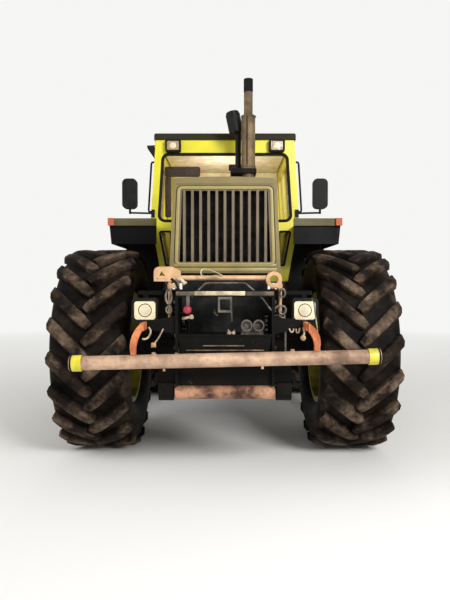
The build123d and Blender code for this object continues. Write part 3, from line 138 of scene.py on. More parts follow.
def bare_metal(name, colour, dark, rough=0.45, metallic=0.8, size=30, depth=0.4):
    """Handled or weathered metal: pits of size millimetres, depth millimetres deep, and a darker skin
    in blotches six times as wide."""
    material, tree, place = start_material(name)
    blotch = add(tree, "TexNoise", {"Vector": place, "Scale": per_metre(size * 6), "Detail": 7,
                                    "Roughness": 0.68})
    blotch = add(tree, "MapRange", {"Value": blotch, "From Min": 0.38, "From Max": 0.62})
    pits = add(tree, "TexNoise", {"Vector": place, "Scale": per_metre(size), "Detail": 8, "Roughness": 0.7})
    deep = add(tree, "MapRange", {"Value": pits, "From Min": 0.5, "From Max": 0.8})
    tone = add(tree, "Mix", {0: blotch, 6: colour, 7: dark}, out=2, data_type="RGBA")
    tone = add(tree, "Mix", {0: deep, 6: tone, 7: dark}, out=2, data_type="RGBA")
    shade = add(tree, "Math", {0: blotch, 1: 0.25, 2: rough}, operation="MULTIPLY_ADD")
    relief = add(tree, "Bump", {"Height": pits, "Distance": depth / 1000, "Strength": 0.5})
    add(tree, "OutputMaterial", {"Surface": add(tree, "BsdfPrincipled", {
        "Base Color": tone, "Roughness": shade, "Metallic": metallic, "Normal": relief})})
    return material


def moulded(name, colour, rough=0.5, grain_mm=3, grain=0.15):
    """Moulded plastic, rubber or coated cloth: a fine grain, paler where it has dried in clouds of 130 mm."""
    material, tree, place = start_material(name)
    fine = add(tree, "TexNoise", {"Vector": place, "Scale": per_metre(grain_mm), "Detail": 3,
                                  "Roughness": 0.6})
    cloud = add(tree, "TexNoise", {"Vector": place, "Scale": per_metre(130), "Detail": 5, "Roughness": 0.6})
    cloud = add(tree, "MapRange", {"Value": cloud, "From Min": 0.35, "From Max": 0.65})
    pale = [min(1.0, c * 1.5 + 0.01) for c in linear(colour)[:3]] + [1.0]
    tone = add(tree, "Mix", {0: cloud, 6: colour, 7: pale}, out=2, data_type="RGBA")
    shade = add(tree, "Math", {0: cloud, 1: 0.14, 2: rough}, operation="MULTIPLY_ADD")
    relief = add(tree, "Bump", {"Height": fine, "Distance": grain / 1000, "Strength": 0.3})
    add(tree, "OutputMaterial", {"Surface": add(tree, "BsdfPrincipled", {
        "Base Color": tone, "Roughness": shade, "Specular IOR Level": 0.15, "Normal": relief})})
    return material


def enamel_over_painted_shade(name, upper, lower, line_z):
    """Enamel above a height, and below it a second colour, meeting in a crisp line; on the mudguards that
    lower near black is painted shade. Cloudy over 160 mm, with scratches drawn 18 mm long.
    """
    material, tree, place = start_material(name)
    cloud = add(tree, "TexNoise", {"Vector": place, "Scale": per_metre(160), "Detail": 7, "Roughness": 0.6})
    cloud = add(tree, "MapRange", {"Value": cloud, "From Min": 0.3, "From Max": 0.7})
    fine = add(tree, "TexNoise", {"Vector": place, "Scale": per_metre(18), "Detail": 8, "Roughness": 0.6})
    above = add(tree, "SeparateXYZ", {"Vector": place}, out="Z")
    above = add(tree, "MapRange", {"Value": above, "From Min": line_z - 0.002, "From Max": line_z + 0.002})
    tones = []
    for colour in (lower, upper):
        dim = [c * 0.7 for c in linear(colour)[:3]] + [1.0]
        tones.append(add(tree, "Mix", {0: cloud, 6: colour, 7: dim}, out=2, data_type="RGBA"))
    tone = add(tree, "Mix", {0: above, 6: tones[0], 7: tones[1]}, out=2, data_type="RGBA")
    shade = add(tree, "Math", {0: cloud, 1: 0.2, 2: 0.4}, operation="MULTIPLY_ADD")
    relief = add(tree, "Bump", {"Height": fine, "Distance": 0.0003, "Strength": 0.3})
    add(tree, "OutputMaterial", {"Surface": add(tree, "BsdfPrincipled", {
        "Base Color": tone, "Roughness": shade, "Specular IOR Level": 0.12, "Normal": relief})})
    return material


def tyre_rubber():
    """Vulcanised tread rubber: black in the hollows, and dry soil greys the lug faces, where the mesh's own
    dust attribute says so, in patches of 90 mm and crusts of 260 mm. Its 9 mm grain is crumbs of soil."""
    material, tree, place = start_material("tyre_rubber")
    dust = add(tree, "Attribute", out="Fac", attribute_name="dust")
    patch = add(tree, "TexNoise", {"Vector": place, "Scale": per_metre(90), "Detail": 8, "Roughness": 0.7})
    patch = add(tree, "MapRange", {"Value": patch, "From Min": 0.36, "From Max": 0.62})
    crumbs = add(tree, "TexNoise", {"Vector": place, "Scale": per_metre(9), "Detail": 6, "Roughness": 0.6})
    crust = add(tree, "TexNoise", {"Vector": place, "Scale": per_metre(260), "Detail": 5, "Roughness": 0.6})
    crust = add(tree, "MapRange", {"Value": crust, "From Min": 0.46, "From Max": 0.62})
    spread = add(tree, "Math", {0: patch, 1: 0.7, 2: 0.12}, operation="MULTIPLY_ADD")
    share = add(tree, "Math", {0: dust, 1: spread}, operation="MULTIPLY")
    thin = add(tree, "Mix", {0: crumbs, 6: "#1C1612", 7: "#3A2E26"}, out=2, data_type="RGBA")
    thick = add(tree, "Mix", {0: crumbs, 6: "#97806A", 7: "#665547"}, out=2, data_type="RGBA")
    soil = add(tree, "Mix", {0: crust, 6: thin, 7: thick}, out=2, data_type="RGBA")
    rubber = add(tree, "Mix", {0: patch, 6: "#040303", 7: "#0A0807"}, out=2, data_type="RGBA")
    tone = add(tree, "Mix", {0: share, 6: rubber, 7: soil}, out=2, data_type="RGBA")
    shade = add(tree, "Math", {0: share, 1: 0.25, 2: 0.6}, operation="MULTIPLY_ADD")
    relief = add(tree, "Bump", {"Height": crumbs, "Distance": 0.0008, "Strength": 0.4})
    add(tree, "OutputMaterial", {"Surface": add(tree, "BsdfPrincipled", {
        "Base Color": tone, "Roughness": shade, "Specular IOR Level": 0.06, "Normal": relief})})
    return material


def window_glass():
    """Toughened float glass: clear, under a tan film of dust in clouds of 380 mm. The film is thin on the
    wiped windscreen and thicker elsewhere, and the panes below the belt are smoked nearly black."""
    material, tree, place = start_material("window_glass")
    film = add(tree, "TexNoise", {"Vector": place, "Scale": per_metre(380), "Detail": 6, "Roughness": 0.6})
    film = add(tree, "MapRange", {"Value": film, "From Min": 0.25, "From Max": 0.8})
    smoked = add(tree, "SeparateXYZ", {"Vector": place}, out="Z")
    smoked = add(tree, "MapRange", {"Value": smoked, "From Min": SMOKED_Z, "From Max": SMOKED_Z - 0.01})
    unwiped = add(tree, "SeparateXYZ", {"Vector": place}, out="Y")
    unwiped = add(tree, "MapRange", {"Value": unwiped, "From Min": CAB_FRONT + 0.06,
                                     "From Max": CAB_FRONT + 0.10, "To Min": 0.02, "To Max": 0.22})
    alpha = add(tree, "Math", {0: film, 1: 0.03, 2: unwiped}, operation="MULTIPLY_ADD")
    alpha = add(tree, "Math", {0: smoked, 1: 0.40, 2: alpha}, operation="MULTIPLY_ADD")
    clear = add(tree, "Mix", {0: film, 6: "#D2AF86", 7: "#BF9C76"}, out=2, data_type="RGBA")
    tone = add(tree, "Mix", {0: smoked, 6: clear, 7: "#15120E"}, out=2, data_type="RGBA")
    add(tree, "OutputMaterial", {"Surface": add(tree, "BsdfPrincipled", {
        "Base Color": tone, "Roughness": 0.12, "Alpha": alpha, "Specular IOR Level": 0.2})})
    return material


def lamp_glasses():
    """Pressed lamp glass, ribbed on its back: cream in front, dusty and browner on the roof, orange at the
    front mudguards' outer corners and red at the tail."""
    material, tree, place = start_material("lamp_glass")
    # a wave of scale 1 repeats every tau / 20 metres
    ribs = add(tree, "TexWave", {"Vector": place, "Scale": math.tau / 20 / (RIB_MM / 1000)}, out="Fac",
               bands_direction="X")
    across, along, high = (add(tree, "SeparateXYZ", {"Vector": place}, out=axis) for axis in "XYZ")
    across = add(tree, "Math", {0: across}, operation="ABSOLUTE")
    corner = add(tree, "MapRange", {"Value": across, "From Min": 1.0, "From Max": 1.01})
    tail = add(tree, "MapRange", {"Value": along, "From Min": 1.0, "From Max": 1.1})
    roof = add(tree, "MapRange", {"Value": high, "From Min": 2.5, "From Max": 2.6})
    film = add(tree, "TexNoise", {"Vector": place, "Scale": per_metre(30), "Detail": 6, "Roughness": 0.6})
    film = add(tree, "MapRange", {"Value": film, "From Min": 0.3, "From Max": 0.75})
    front = add(tree, "Mix", {0: film, 6: "#FFF0CC", 7: "#E6CFA4"}, out=2, data_type="RGBA")
    dusty = add(tree, "Mix", {0: film, 6: "#B89A76", 7: "#8E7558"}, out=2, data_type="RGBA")
    tone = add(tree, "Mix", {0: roof, 6: front, 7: dusty}, out=2, data_type="RGBA")
    tone = add(tree, "Mix", {0: corner, 6: tone, 7: "#B4552C"}, out=2, data_type="RGBA")
    tone = add(tree, "Mix", {0: tail, 6: tone, 7: "#8E1410"}, out=2, data_type="RGBA")
    relief = add(tree, "Bump", {"Height": ribs, "Distance": 0.0012, "Strength": 0.4})
    add(tree, "OutputMaterial", {"Surface": add(tree, "BsdfPrincipled", {
        "Base Color": tone, "Roughness": 0.12, "Coat Weight": 0.6, "Normal": relief})})
    return material


# lime enamel, sprayed and looked after: bright and even, a soft gloss, dusty towards the sills
LIME = painted("lime_enamel", "#ECE12C", "#D6CA24", "#7A6E2A", rough=0.3, wear=0.03, grime=(1.0, 1.8))
# olive enamel on the hood, chalked by sun and engine heat: dull, brownish clouds, little gloss
OLIVE = painted("olive_enamel", "#7F7042", "#685B33", "#4E452C", rough=0.42, coat=0.1, wear=0.06,
                grime=(1.2, 2.4))
# the same enamel on the bezel's raised lip, paler and a bit glossier: a painted highlight where the raised
# edges catch the light
LIP_HIGHLIGHT = painted("olive_enamel_painted_highlight", "#A09055", "#8A7C48", "#5C5236", rough=0.38, coat=0.1, wear=0.06,
              grime=(1.2, 2.4))
# enamel on the grille's flat bars, sanded by road dust: a matt grey-brown
GRILLE = painted("grille_enamel", "#75664E", "#574B3B", "#3A3226", rough=0.45, coat=0.1, wear=0.06,
                 grime=(1.5, 2.2))
# roof enamel, weathered flat: near black with an olive cast and hardly a shine
ROOF = painted("roof_enamel", "#282410", "#1C190B", "#3A3524", rough=0.6, coat=0.02, wear=0.04, gloss=0.2)
# pressed mudguards: olive enamel on the upper lip, and below it near black that is painted shade for their
# shadowed underside; a crisp line between the two
FENDER_LIP_AND_SHADE = enamel_over_painted_shade("fender_enamel_and_painted_shade", "#6C6648", "#060504", FENDER_LIP_Z)
# black chassis enamel on sheet metal: dark and satin, with brown dust in its low parts; on the rear mudguards
# and their rolled edges the near black is painted shade for their shadowed front faces
BLACK_AND_SHADE = painted("black_enamel_and_painted_shade", "#0B0A08", "#070605", "#2A241C", rough=0.45, coat=0.03, wear=0.05, gloss=0.15)
# brushed-on frame enamel under oil and soil, darkened further into painted shade for the shadow under the
# machine: blacker and flatter than the sheet metal's
FRAME_BLACK_AND_SHADE = painted("frame_enamel_and_painted_shade", "#080706", "#050403", "#1C1712", rough=0.5, coat=0.0, wear=0.06,
                     gloss=0.1)
# lime enamel on the wheels, stone-chipped and muddy: browner and duller than the cab
RIM = painted("rim_enamel", "#A8A02E", "#8E8726", "#4C4226", rough=0.45, wear=0.06, grime=(0.4, 1.6))
# red signal enamel, sprayed, on the brake coupling's cap and the reflectors: deep, clean and glossy
RED = painted("red_enamel", "#B01E3E", "#8E1630", "#5A2A26", rough=0.35, wear=0.05)
# zinc-plated wire and pipe gone chalky: cream with brown in its pits, no shine
CREAM = bare_metal("cream_weathered_steel", "#D8C6A4", "#8E7A60", rough=0.5, metallic=0.15, size=20)
# sand-cast iron under old oil: almost black, its casting skin a coarse matt grain
CAST = bare_metal("cast_iron", "#110E0C", "#060505", rough=0.8, metallic=0.0, size=16, depth=0.8)
# rolled steel tube rubbed bare by branches: a tan bloom with brown patches half a metre long
TAN = bare_metal("worn_bar_steel", "#CDA98B", "#6E5443", rough=0.45, metallic=0.15, size=85)
# forged steel in worn primer: peach, with darker scuffs
PEACH = bare_metal("worn_primer_steel", "#D9AE84", "#B08A62", rough=0.5, metallic=0.15, size=50)
# orange paint lifting off bent plate: dull orange, brown where rust comes through
RUST = bare_metal("rusty_orange_paint", "#DE8A54", "#9A5430", rough=0.6, metallic=0.1, size=26, depth=0.8)
# a rusted roller of drawn tube: red-brown scale, polished to tan where the rope ran
ROLLER = bare_metal("rusty_roller_steel", "#BE8E6C", "#42241A", rough=0.55, metallic=0.2, size=34, depth=0.9)
# turned and zinc-plated steel: bright grey with a dull bloom
STEEL = bare_metal("bright_steel", "#8E887E", "#46423C", rough=0.38, metallic=0.85, size=22)
# oiled black steel: dark grey, shining a little on its edges
DARK_STEEL = bare_metal("dark_steel", "#6A645A", "#2E2A25", rough=0.5, metallic=0.4, size=22)
# rolled exhaust steel tinted by heat: straw and brown in long clouds, matt
EXHAUST = bare_metal("heat_tinted_steel", "#8E7650", "#33291C", rough=0.55, metallic=0.3, size=120)
# tread plate and shelf edges worn through their paint: dull grey-brown steel
WORN = bare_metal("worn_edge_steel", "#7C6C5A", "#3A332B", rough=0.5, metallic=0.2, size=30)
# steel under soot, as in a tailpipe: flat black; in the louvres' slots the same flat black is painted shade,
# standing for the dark inside them
SOOT_AND_SLOT_SHADE = moulded("sooty_steel_and_slot_shade", "#0C0A08", rough=0.8)
# injection-moulded plastic with a leather-like grain drawn 3 mm wide: black, satin
PLASTIC = moulded("black_plastic", "#060606", rough=0.5)
# extruded rubber of seals, plugs and latches: blacker and duller than the plastic
RUBBER = moulded("black_rubber", "#050505", rough=0.65)
# woven seat cloth, its 1 mm threads drawn 2.5 mm wide so that they show: charcoal, no shine
CLOTH = moulded("seat_cloth", "#1C1B1A", rough=0.9, grain_mm=2.5, grain=0.6)
# embossed vinyl over foam board: pale and warm, with a soft sheen
LINING = moulded("lining_vinyl", "#F0CFB0", rough=0.7, grain_mm=2)
# float glass silvered on its back: mirrors what it faces, clean and cool
MIRROR = bare_metal("mirror_glass", "#C8CCCC", "#B8BCBC", rough=0.03, metallic=1.0, size=200, depth=0.0)
# a lamp's reflector, metal vapour on lacquer: warm and bright behind the glass
CHROME = bare_metal("bright_reflector", "#F2E6CC", "#D6C4A0", rough=0.15, metallic=0.3, size=40, depth=0.0)
TYRE = tyre_rubber()
GLASS = window_glass()
LAMP = lamp_glasses()

FINISH = {
    LIME: ("cab_shell", "door_left", "door_right"),
    OLIVE: ("hood_shell", "rear_cowl"),
    GRILLE: ("grille",),
    ROOF: ("cab_roof",),
    FENDER_LIP_AND_SHADE: ("front_fenders",),
    # the rear mudguards' near black is painted shade
    BLACK_AND_SHADE: ("rear_fenders", "side_tanks"),
    FRAME_BLACK_AND_SHADE: ("frame_rails", "front_axle", "rear_axle", "rear_deck", "front_carrier", "lower_links",
                 "lift_arms"),
    CAST: ("engine_and_drive", "knuckle_left", "knuckle_right", "rear_hitch"),
    TAN: ("guard_bar",),
    PEACH: ("lift_crossbar",),
    RUST: ("tusk_arms",),
    ROLLER: ("front_roller",),
    DARK_STEEL: ("tow_fittings",),
    STEEL: ("tie_rod", "lift_rods"),
    EXHAUST: ("exhaust_stack",),
    PLASTIC: ("air_intake", "steering_console", "lamp_housings", "mirrors"),
    CLOTH: ("driver_seat",),
    GLASS: ("cab_glass", "door_glass_left", "door_glass_right"),
    LAMP: ("lamp_lenses",),
    RIM: [f"rim_{wheel}" for wheel, _ in WHEELS],
    TYRE: [f"tyre_{wheel}" for wheel, _ in WHEELS],
}
for material, names in FINISH.items():
    for name in names:
        slots = nodes[name].material_slots
        if slots:
            for material_slot in slots:
                material_slot.material = material
        else:
            nodes[name].data.materials.append(material)


# ------------------------------------------------------------------ ways to make the pieces
def finish_piece(mesh, name, material, body="chassis", smooth=True, angle=40):
    """A bmesh turned into a piece that rides on a body, with its finish."""
    bmesh.ops.recalc_face_normals(mesh, faces=mesh.faces)
    data = bpy.data.meshes.new(name)
    mesh.to_mesh(data)
    mesh.free()
    data.materials.append(material)
    if smooth:
        data.shade_smooth()
        data.set_sharp_from_angle(angle=math.radians(angle))
    return place_piece(name, data, body)


def place_piece(name, data, body):
    """An object for a mesh or curve, riding on a body."""
    piece = bpy.data.objects.new(name, data)
    bpy.context.scene.collection.objects.link(piece)
    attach(piece, body)
    return piece


def turned(mesh, base, axis, profile, sides=24, closed=False):
    """A shape turned about an axis, from (radius, reach from the base) pairs. A closed one is a ring."""
    base, along = Vector(base), Vector(axis).normalized()
    side = along.orthogonal().normalized()
    if not closed:
        profile = [(0.0, profile[0][1])] + list(profile) + [(0.0, profile[-1][1])]
    placed = len(mesh.verts)
    verts = [mesh.verts.new(base + along * reach + side * radius) for radius, reach in profile]
    edges = [mesh.edges.new(pair) for pair in zip(verts, verts[1:])]
    if closed:
        edges.append(mesh.edges.new((verts[-1], verts[0])))
    bmesh.ops.spin(mesh, geom=verts + edges, cent=base, axis=along, angle=math.tau, steps=sides,
                   use_merge=True)
    mesh.verts.ensure_lookup_table()
    bmesh.ops.remove_doubles(mesh, verts=mesh.verts[placed:], dist=1e-6)


def rod(mesh, start, end, radius, sides=16):
    """A straight round bar with eased ends."""
    run = Vector(end) - Vector(start)
    ease = min(radius * 0.25, run.length * 0.2)
    turned(mesh, start, run, [(radius - ease, 0), (radius, ease), (radius, run.length - ease),
                              (radius - ease, run.length)], sides)


def panel(mesh, low, high, ease=0.004):
    """A box between two corners with eased edges."""
    low, high = Vector(low), Vector(high)
    verts = bmesh.ops.create_cube(mesh, size=1.0)["verts"]
    for vert in verts:
        vert.co = (low + high) / 2 + Vector((vert.co[n] * abs(high[n] - low[n]) for n in range(3)))
    edges = list({edge for vert in verts for edge in vert.link_edges})
    bmesh.ops.bevel(mesh, geom=edges, offset=ease, segments=2, affect="EDGES", profile=0.5, material=-1)


def bolt(mesh, place, axis, across=0.024):
    """A hexagon bolt head on its washer, its foot sunk a little into what it holds."""
    turned(mesh, place, axis, [(across * 0.95, -0.004), (across * 0.95, 0.003), (across * 0.8, 0.004)], 20)
    turned(mesh, place, axis, [(across * 0.58, 0.0), (across * 0.58, across * 0.55),
                               (across * 0.48, across * 0.65)], 6)


def rounded(corners, radius, steps=6):
    """A closed outline through the corners, each one rounded."""
    outline = []
    for n, corner in enumerate(corners):
        here = Vector(corner)
        before = (Vector(corners[n - 1]) - here).normalized()
        after = (Vector(corners[(n + 1) % len(corners)]) - here).normalized()
        half = before.angle(after) / 2
        centre = here + (before + after).normalized() * (radius / math.sin(half))
        first = here + before * (radius / math.tan(half)) - centre
        last = here + after * (radius / math.tan(half)) - centre
        outline += [centre + first.lerp(last, k / steps).normalized() * radius for k in range(steps + 1)]
    return outline


def strip(mesh, outline, normal, width, low, high):
    """A closed moulding along an outline: its width, and its reach below and above the surface."""
    normal = Vector(normal).normalized()
    ease = min(0.3 * width, 0.6 * (high - low))
    centre = sum(outline, Vector()) / len(outline)
    outer = []
    for n, place in enumerate(outline):
        across = (outline[(n + 1) % len(outline)] - outline[n - 1]).normalized().cross(normal)
        if across.dot(place - centre) < 0:
            across.negate()
        outer.append(place + across * (width / 2) + normal * low)
    face = mesh.faces.new([mesh.verts.new(place) for place in outer])
    face.normal_update()
    if face.normal.dot(normal) < 0:
        face.normal_flip()
    band = bmesh.ops.inset_region(mesh, faces=[face], thickness=width, use_even_offset=True,
                                  use_boundary=True)["faces"]
    bmesh.ops.delete(mesh, geom=[face], context="FACES_ONLY")
    raised = bmesh.ops.extrude_face_region(mesh, geom=band, use_keep_orig=True)["geom"]
    verts = [part for part in raised if isinstance(part, bmesh.types.BMVert)]
    bmesh.ops.translate(mesh, verts=verts, vec=normal * (high - low))
    tops = {part for part in raised if isinstance(part, bmesh.types.BMFace)}
    rims = [edge for face in tops for edge in face.edges if sum(f in tops for f in edge.link_faces) == 1]
    bmesh.ops.bevel(mesh, geom=rims, offset=ease, segments=2, affect="EDGES", profile=0.5, material=-1)


def bars(name, material, runs):
    """Bent round bars in one piece. Each run is a radius, a shape (straight, curved or loop) and points."""
    curve = bpy.data.curves.new(name, "CURVE")
    curve.dimensions = "3D"
    curve.bevel_depth = 1.0
    curve.bevel_resolution = 3
    curve.resolution_u = 6
    curve.use_fill_caps = True
    for radius, shape, points in runs:
        spline = curve.splines.new("BEZIER")
        spline.bezier_points.add(len(points) - 1)
        spline.use_cyclic_u = shape == "loop"
        for knot, place in zip(spline.bezier_points, points):
            knot.co = place
            knot.radius = radius
            knot.handle_left_type = knot.handle_right_type = "VECTOR" if shape == "straight" else "AUTO"
    curve.materials.append(material)
    return place_piece(name, curve, "chassis")


def bent(points, reach=0.02):
    """The points of a bar with tight bends: each inner corner becomes three points round it."""
    points = [Vector(p) for p in points]
    out = [points[0]]
    for before, here, after in zip(points, points[1:], points[2:]):
        first, last = (before - here).normalized() * reach, (after - here).normalized() * reach
        out += [here + first, here + (first + last) * 0.22, here + last]
    return out + [points[-1]]


def both_sides(places):
    """Each place and its mirror image across the machine."""
    return [Vector((side * x, y, z)) for x, y, z in places for side in SIDES]


def round_ring(count, radius, first=0.0):
    """Places evenly round a circle, as (along, up) from its middle; first is a share of one step."""
    turns = [math.tau * (n + first) / count for n in range(count)]
    return [(radius * math.cos(turn), radius * math.sin(turn)) for turn in turns]


# ------------------------------------------------------------------ tyres with lugs
LUGS = 20                    # on each side of the tread
PITCH = math.tau / LUGS
CARCASS_R = TYRE_R - 0.054
BEAD_R = 0.483
LUG_TOP = 0.088              # width across a lug's face
LUG_BASE = 0.112             # width at its foot
LUG_NOSE = -0.022            # where it starts, just past the tread's middle
LUG_RUN = 0.342              # how far it reaches towards the shoulder
LUG_SWEEP = math.radians(21.4)
LUG_SLOPE = math.atan2(LUG_SWEEP * TYRE_R, LUG_RUN)
LUG_ROOT = 0.012             # how deep a lug's foot is sunk into the carcass
SHOULDER_X = 0.20            # the lug faces fall away past this
# half of the carcass from the bead to the tread's middle, as (across, radius)
CARCASS = [(0.226, BEAD_R + 0.001), (0.240, BEAD_R + 0.018), (0.262, BEAD_R + 0.050), (0.292, 0.580),
           (0.312, 0.650), (0.3205, 0.715), (0.318, 0.765), (0.306, 0.806), (0.282, 0.833),
           (0.235, 0.846), (0.15, 0.851), (0.0, CARCASS_R)]


def lug_block():
    """One lug before it is bent round the tyre: a unit bar along X, its face edges and nose rounded."""
    mesh = bmesh.new()
    bmesh.ops.create_cube(mesh, size=1.0)
    long_edges = [e for e in mesh.edges if abs(e.verts[0].co.x - e.verts[1].co.x) > 0.5]
    bmesh.ops.subdivide_edges(mesh, edges=long_edges, cuts=9, use_grid_fill=True)
    rim = [e for e in mesh.edges
           if all(v.co.z > 0.49 for v in e.verts)
           and (all(v.co.y > 0.49 for v in e.verts) or all(v.co.y < -0.49 for v in e.verts)
                or all(v.co.x < -0.49 for v in e.verts))]
    bmesh.ops.bevel(mesh, geom=rim, offset=0.12, segments=2, affect="EDGES", profile=0.5, material=-1)
    data = bpy.data.meshes.new("lug_block")
    mesh.to_mesh(data)
    mesh.free()
    return data


def bend_lug(vert, side, start, dust):
    """Moves a point of the unit bar to its place on the tread, and dusts the lug's face."""
    share, high = vert.co.x + 0.5, vert.co.z + 0.5
    across = LUG_NOSE + LUG_RUN * share
    swept = LUG_SWEEP * (0.95 * share + 0.05 * share ** 2)
    width = LUG_BASE + (LUG_TOP - LUG_BASE) * high
    offset = vert.co.y * width * min(1.0, 0.62 + 3.2 * share)
    x = max(-0.05, min(TYRE_HALF - 0.002, across - offset * math.sin(LUG_SLOPE)))
    angle = start + (swept + offset * math.cos(LUG_SLOPE) / TYRE_R)
    foot = CARCASS_R - LUG_ROOT - 0.20 * max(0.0, x - 0.24)
    face = TYRE_R - 0.030 * (max(0.0, abs(x) - SHOULDER_X) / 0.12) ** 2
    radius = foot + (face - foot) * high
    vert.co = Vector((side * x, -radius * math.cos(angle), radius * math.sin(angle)))
    vert[dust] = 0.12 + 0.88 * max(0.0, (high - 0.72) / 0.28)


def build_tyre(wheel, block):
    """A lugged tyre in place of the CAD's: a spun carcass, and lugs in two rows half a pitch apart."""
    mesh = bmesh.new()
    dust = mesh.verts.layers.float.new("dust")
    section = CARCASS + [(-x, r) for x, r in reversed(CARCASS[:-1])]
    loop = [mesh.verts.new((x, 0, r)) for x, r in section]
    edges = [mesh.edges.new(pair) for pair in zip(loop, loop[1:])]
    bmesh.ops.spin(mesh, geom=loop + edges, cent=(0, 0, 0), axis=(1, 0, 0), angle=math.tau, steps=120,
                   use_merge=True)
    bmesh.ops.remove_doubles(mesh, verts=mesh.verts, dist=1e-5)
    for vert in mesh.verts:
        radius = math.hypot(vert.co.y, vert.co.z)
        vert[dust] = 0.10 + 0.2 * max(0.0, min(1.0, (radius - 0.6) / 0.2)) * (radius < 0.84)
    for side, stagger in ((1, 0.0), (-1, 0.5)):
        for count in range(LUGS):
            placed = len(mesh.verts)
            mesh.from_mesh(block)
            mesh.verts.ensure_lookup_table()
            for vert in mesh.verts[placed:]:
                bend_lug(vert, side, PITCH * (count + stagger) - LUG_SWEEP / 2, dust)
    bmesh.ops.translate(mesh, verts=mesh.verts, vec=middle(f"tyre_{wheel}"))
    piece = finish_piece(mesh, f"tyre_{wheel}_lugged", TYRE, f"wheel_{wheel}", angle=50)
    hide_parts(f"tyre_{wheel}")


LUG_BLOCK = lug_block()
for wheel, side in WHEELS:
    build_tyre(wheel, LUG_BLOCK)


# ------------------------------------------------------------------ windows
DOOR_PANE_LOW, DOOR_PANE_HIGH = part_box("door_glass_left")
PANE_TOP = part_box("cab_glass")[1].z
PANE_FOOT = 2.24
BELT_Z = 2.200               # the cab is widest here and leans in above and below
SILL_Z = CAB_LOW.z + 0.24
BELT_X, TOP_X, SILL_X = 0.800, 0.746, 0.680
SCREEN = ((-0.715, 2.170), (0.715, 2.170), (0.668, PANE_TOP), (-0.668, PANE_TOP))
FOOT_PANE = ((0.585, 1.690), (0.640, 1.690), (0.708, 2.056), (0.585, 2.056))
REAR_PANE = ((-0.600, PANE_FOOT), (0.600, PANE_FOOT), (0.600, 2.876), (-0.600, 2.876))
SEAL_SUNK = -0.012           # a seal reaches this far into its opening
HANDLE_Z = 2.175


def skin_x(z):
    """Half-width of the cab's skin at a height."""
    if z > BELT_Z:
        return BELT_X + (TOP_X - BELT_X) * (z - BELT_Z) / (CAB_HIGH.z - BELT_Z)
    return SILL_X + (BELT_X - SILL_X) * (z - SILL_Z) / (BELT_Z - SILL_Z)


def side_seal(mesh, side, y0, y1, z0, z1):
    """A seal round a window in the cab's leaning side."""
    corners = [(side * skin_x(z), y, z) for y, z in ((y0, z0), (y1, z0), (y1, z1), (y0, z1))]
    lean = math.atan2(skin_x(z1) - skin_x(z0), z1 - z0)
    facing = (side * math.cos(lean), 0, -math.sin(lean))
    strip(mesh, rounded(corners, 0.05), facing, 0.030, SEAL_SUNK, 0.005)


def window_seals():
    """Black rubber channels round the fixed panes."""
    mesh = bmesh.new()
    strip(mesh, rounded([(x, CAB_FRONT, z) for x, z in SCREEN], 0.062), AHEAD, 0.034, SEAL_SUNK, 0.006)
    for side in SIDES:
        foot = rounded([(side * x, CAB_FRONT, z) for x, z in FOOT_PANE], 0.018)
        strip(mesh, foot, AHEAD, 0.022, SEAL_SUNK, 0.005)
        side_seal(mesh, side, 0.735, 1.065, PANE_FOOT, PANE_TOP - 0.01)
    strip(mesh, rounded([(x, CAB_BACK, z) for x, z in REAR_PANE], 0.055), BACK, 0.030, SEAL_SUNK, 0.005)
    finish_piece(mesh, "window_seals", RUBBER)


def door_fittings(name, side):
    """The seals of a door's two panes, and its handle with a grip bar on the rear edge."""
    mesh = bmesh.new()
    for z0, z1 in ((1.700, 2.110), (PANE_FOOT, DOOR_PANE_HIGH.z)):
        side_seal(mesh, side, DOOR_PANE_LOW.y, DOOR_PANE_HIGH.y, z0, z1)
    skin = skin_x(HANDLE_Z - 0.005)
    root_x, plate_x, grip_x = side * (skin - 0.01), side * (skin + 0.006), side * (skin + 0.026)
    panel(mesh, (root_x, 0.555, 2.145), (plate_x, 0.625, 2.205), 0.003)
    rod(mesh, (grip_x, 0.500, HANDLE_Z), (grip_x, 0.615, HANDLE_Z), 0.009)
    for y in (0.605, 0.512):
        rod(mesh, (root_x, y, HANDLE_Z), (grip_x, y, HANDLE_Z), 0.008)
    finish_piece(mesh, f"door_fittings_{name}", RUBBER, f"door_{name}")


window_seals()
door_fittings("left", 1)
door_fittings("right", -1)


# ------------------------------------------------------------------ hood and grille
HOOD_FRONT = HOOD_LOW.y
GRILLE_HOLE = ((-0.366, GRILLE_LOW.z), (0.366, GRILLE_LOW.z), (0.345, GRILLE_HIGH.z), (-0.345, GRILLE_HIGH.z))
SHUT_LINES = ((0.375, 2.2575, 2.2605), (0.398, 1.6185, 1.6235))   # half-width, foot and top
BEZEL_BARS = ((1.636, 0.395, 0.012), (1.603, 0.400, 0.016))       # height, half-width, half-thickness
LOUVRE_START, LOUVRE_PITCH, LOUVRES = -2.02, 0.056, 15            # along the hood
LOUVRE_ROWS = (1.72, 1.86, 2.00)
LOUVRE_LONG, LOUVRE_TALL = 0.020, 0.105
HOOD_LEAN = 0.034 / 0.741    # the hood's sides lean in by this share of their height


def round_grille(wider, above, below, corner):
    """An outline round the grille's hole, some share wider and reaching further above and below."""
    return rounded([(x * wider, HOOD_FRONT, z + (above if z == GRILLE_HIGH.z else -below))
                    for x, z in GRILLE_HOLE], corner)


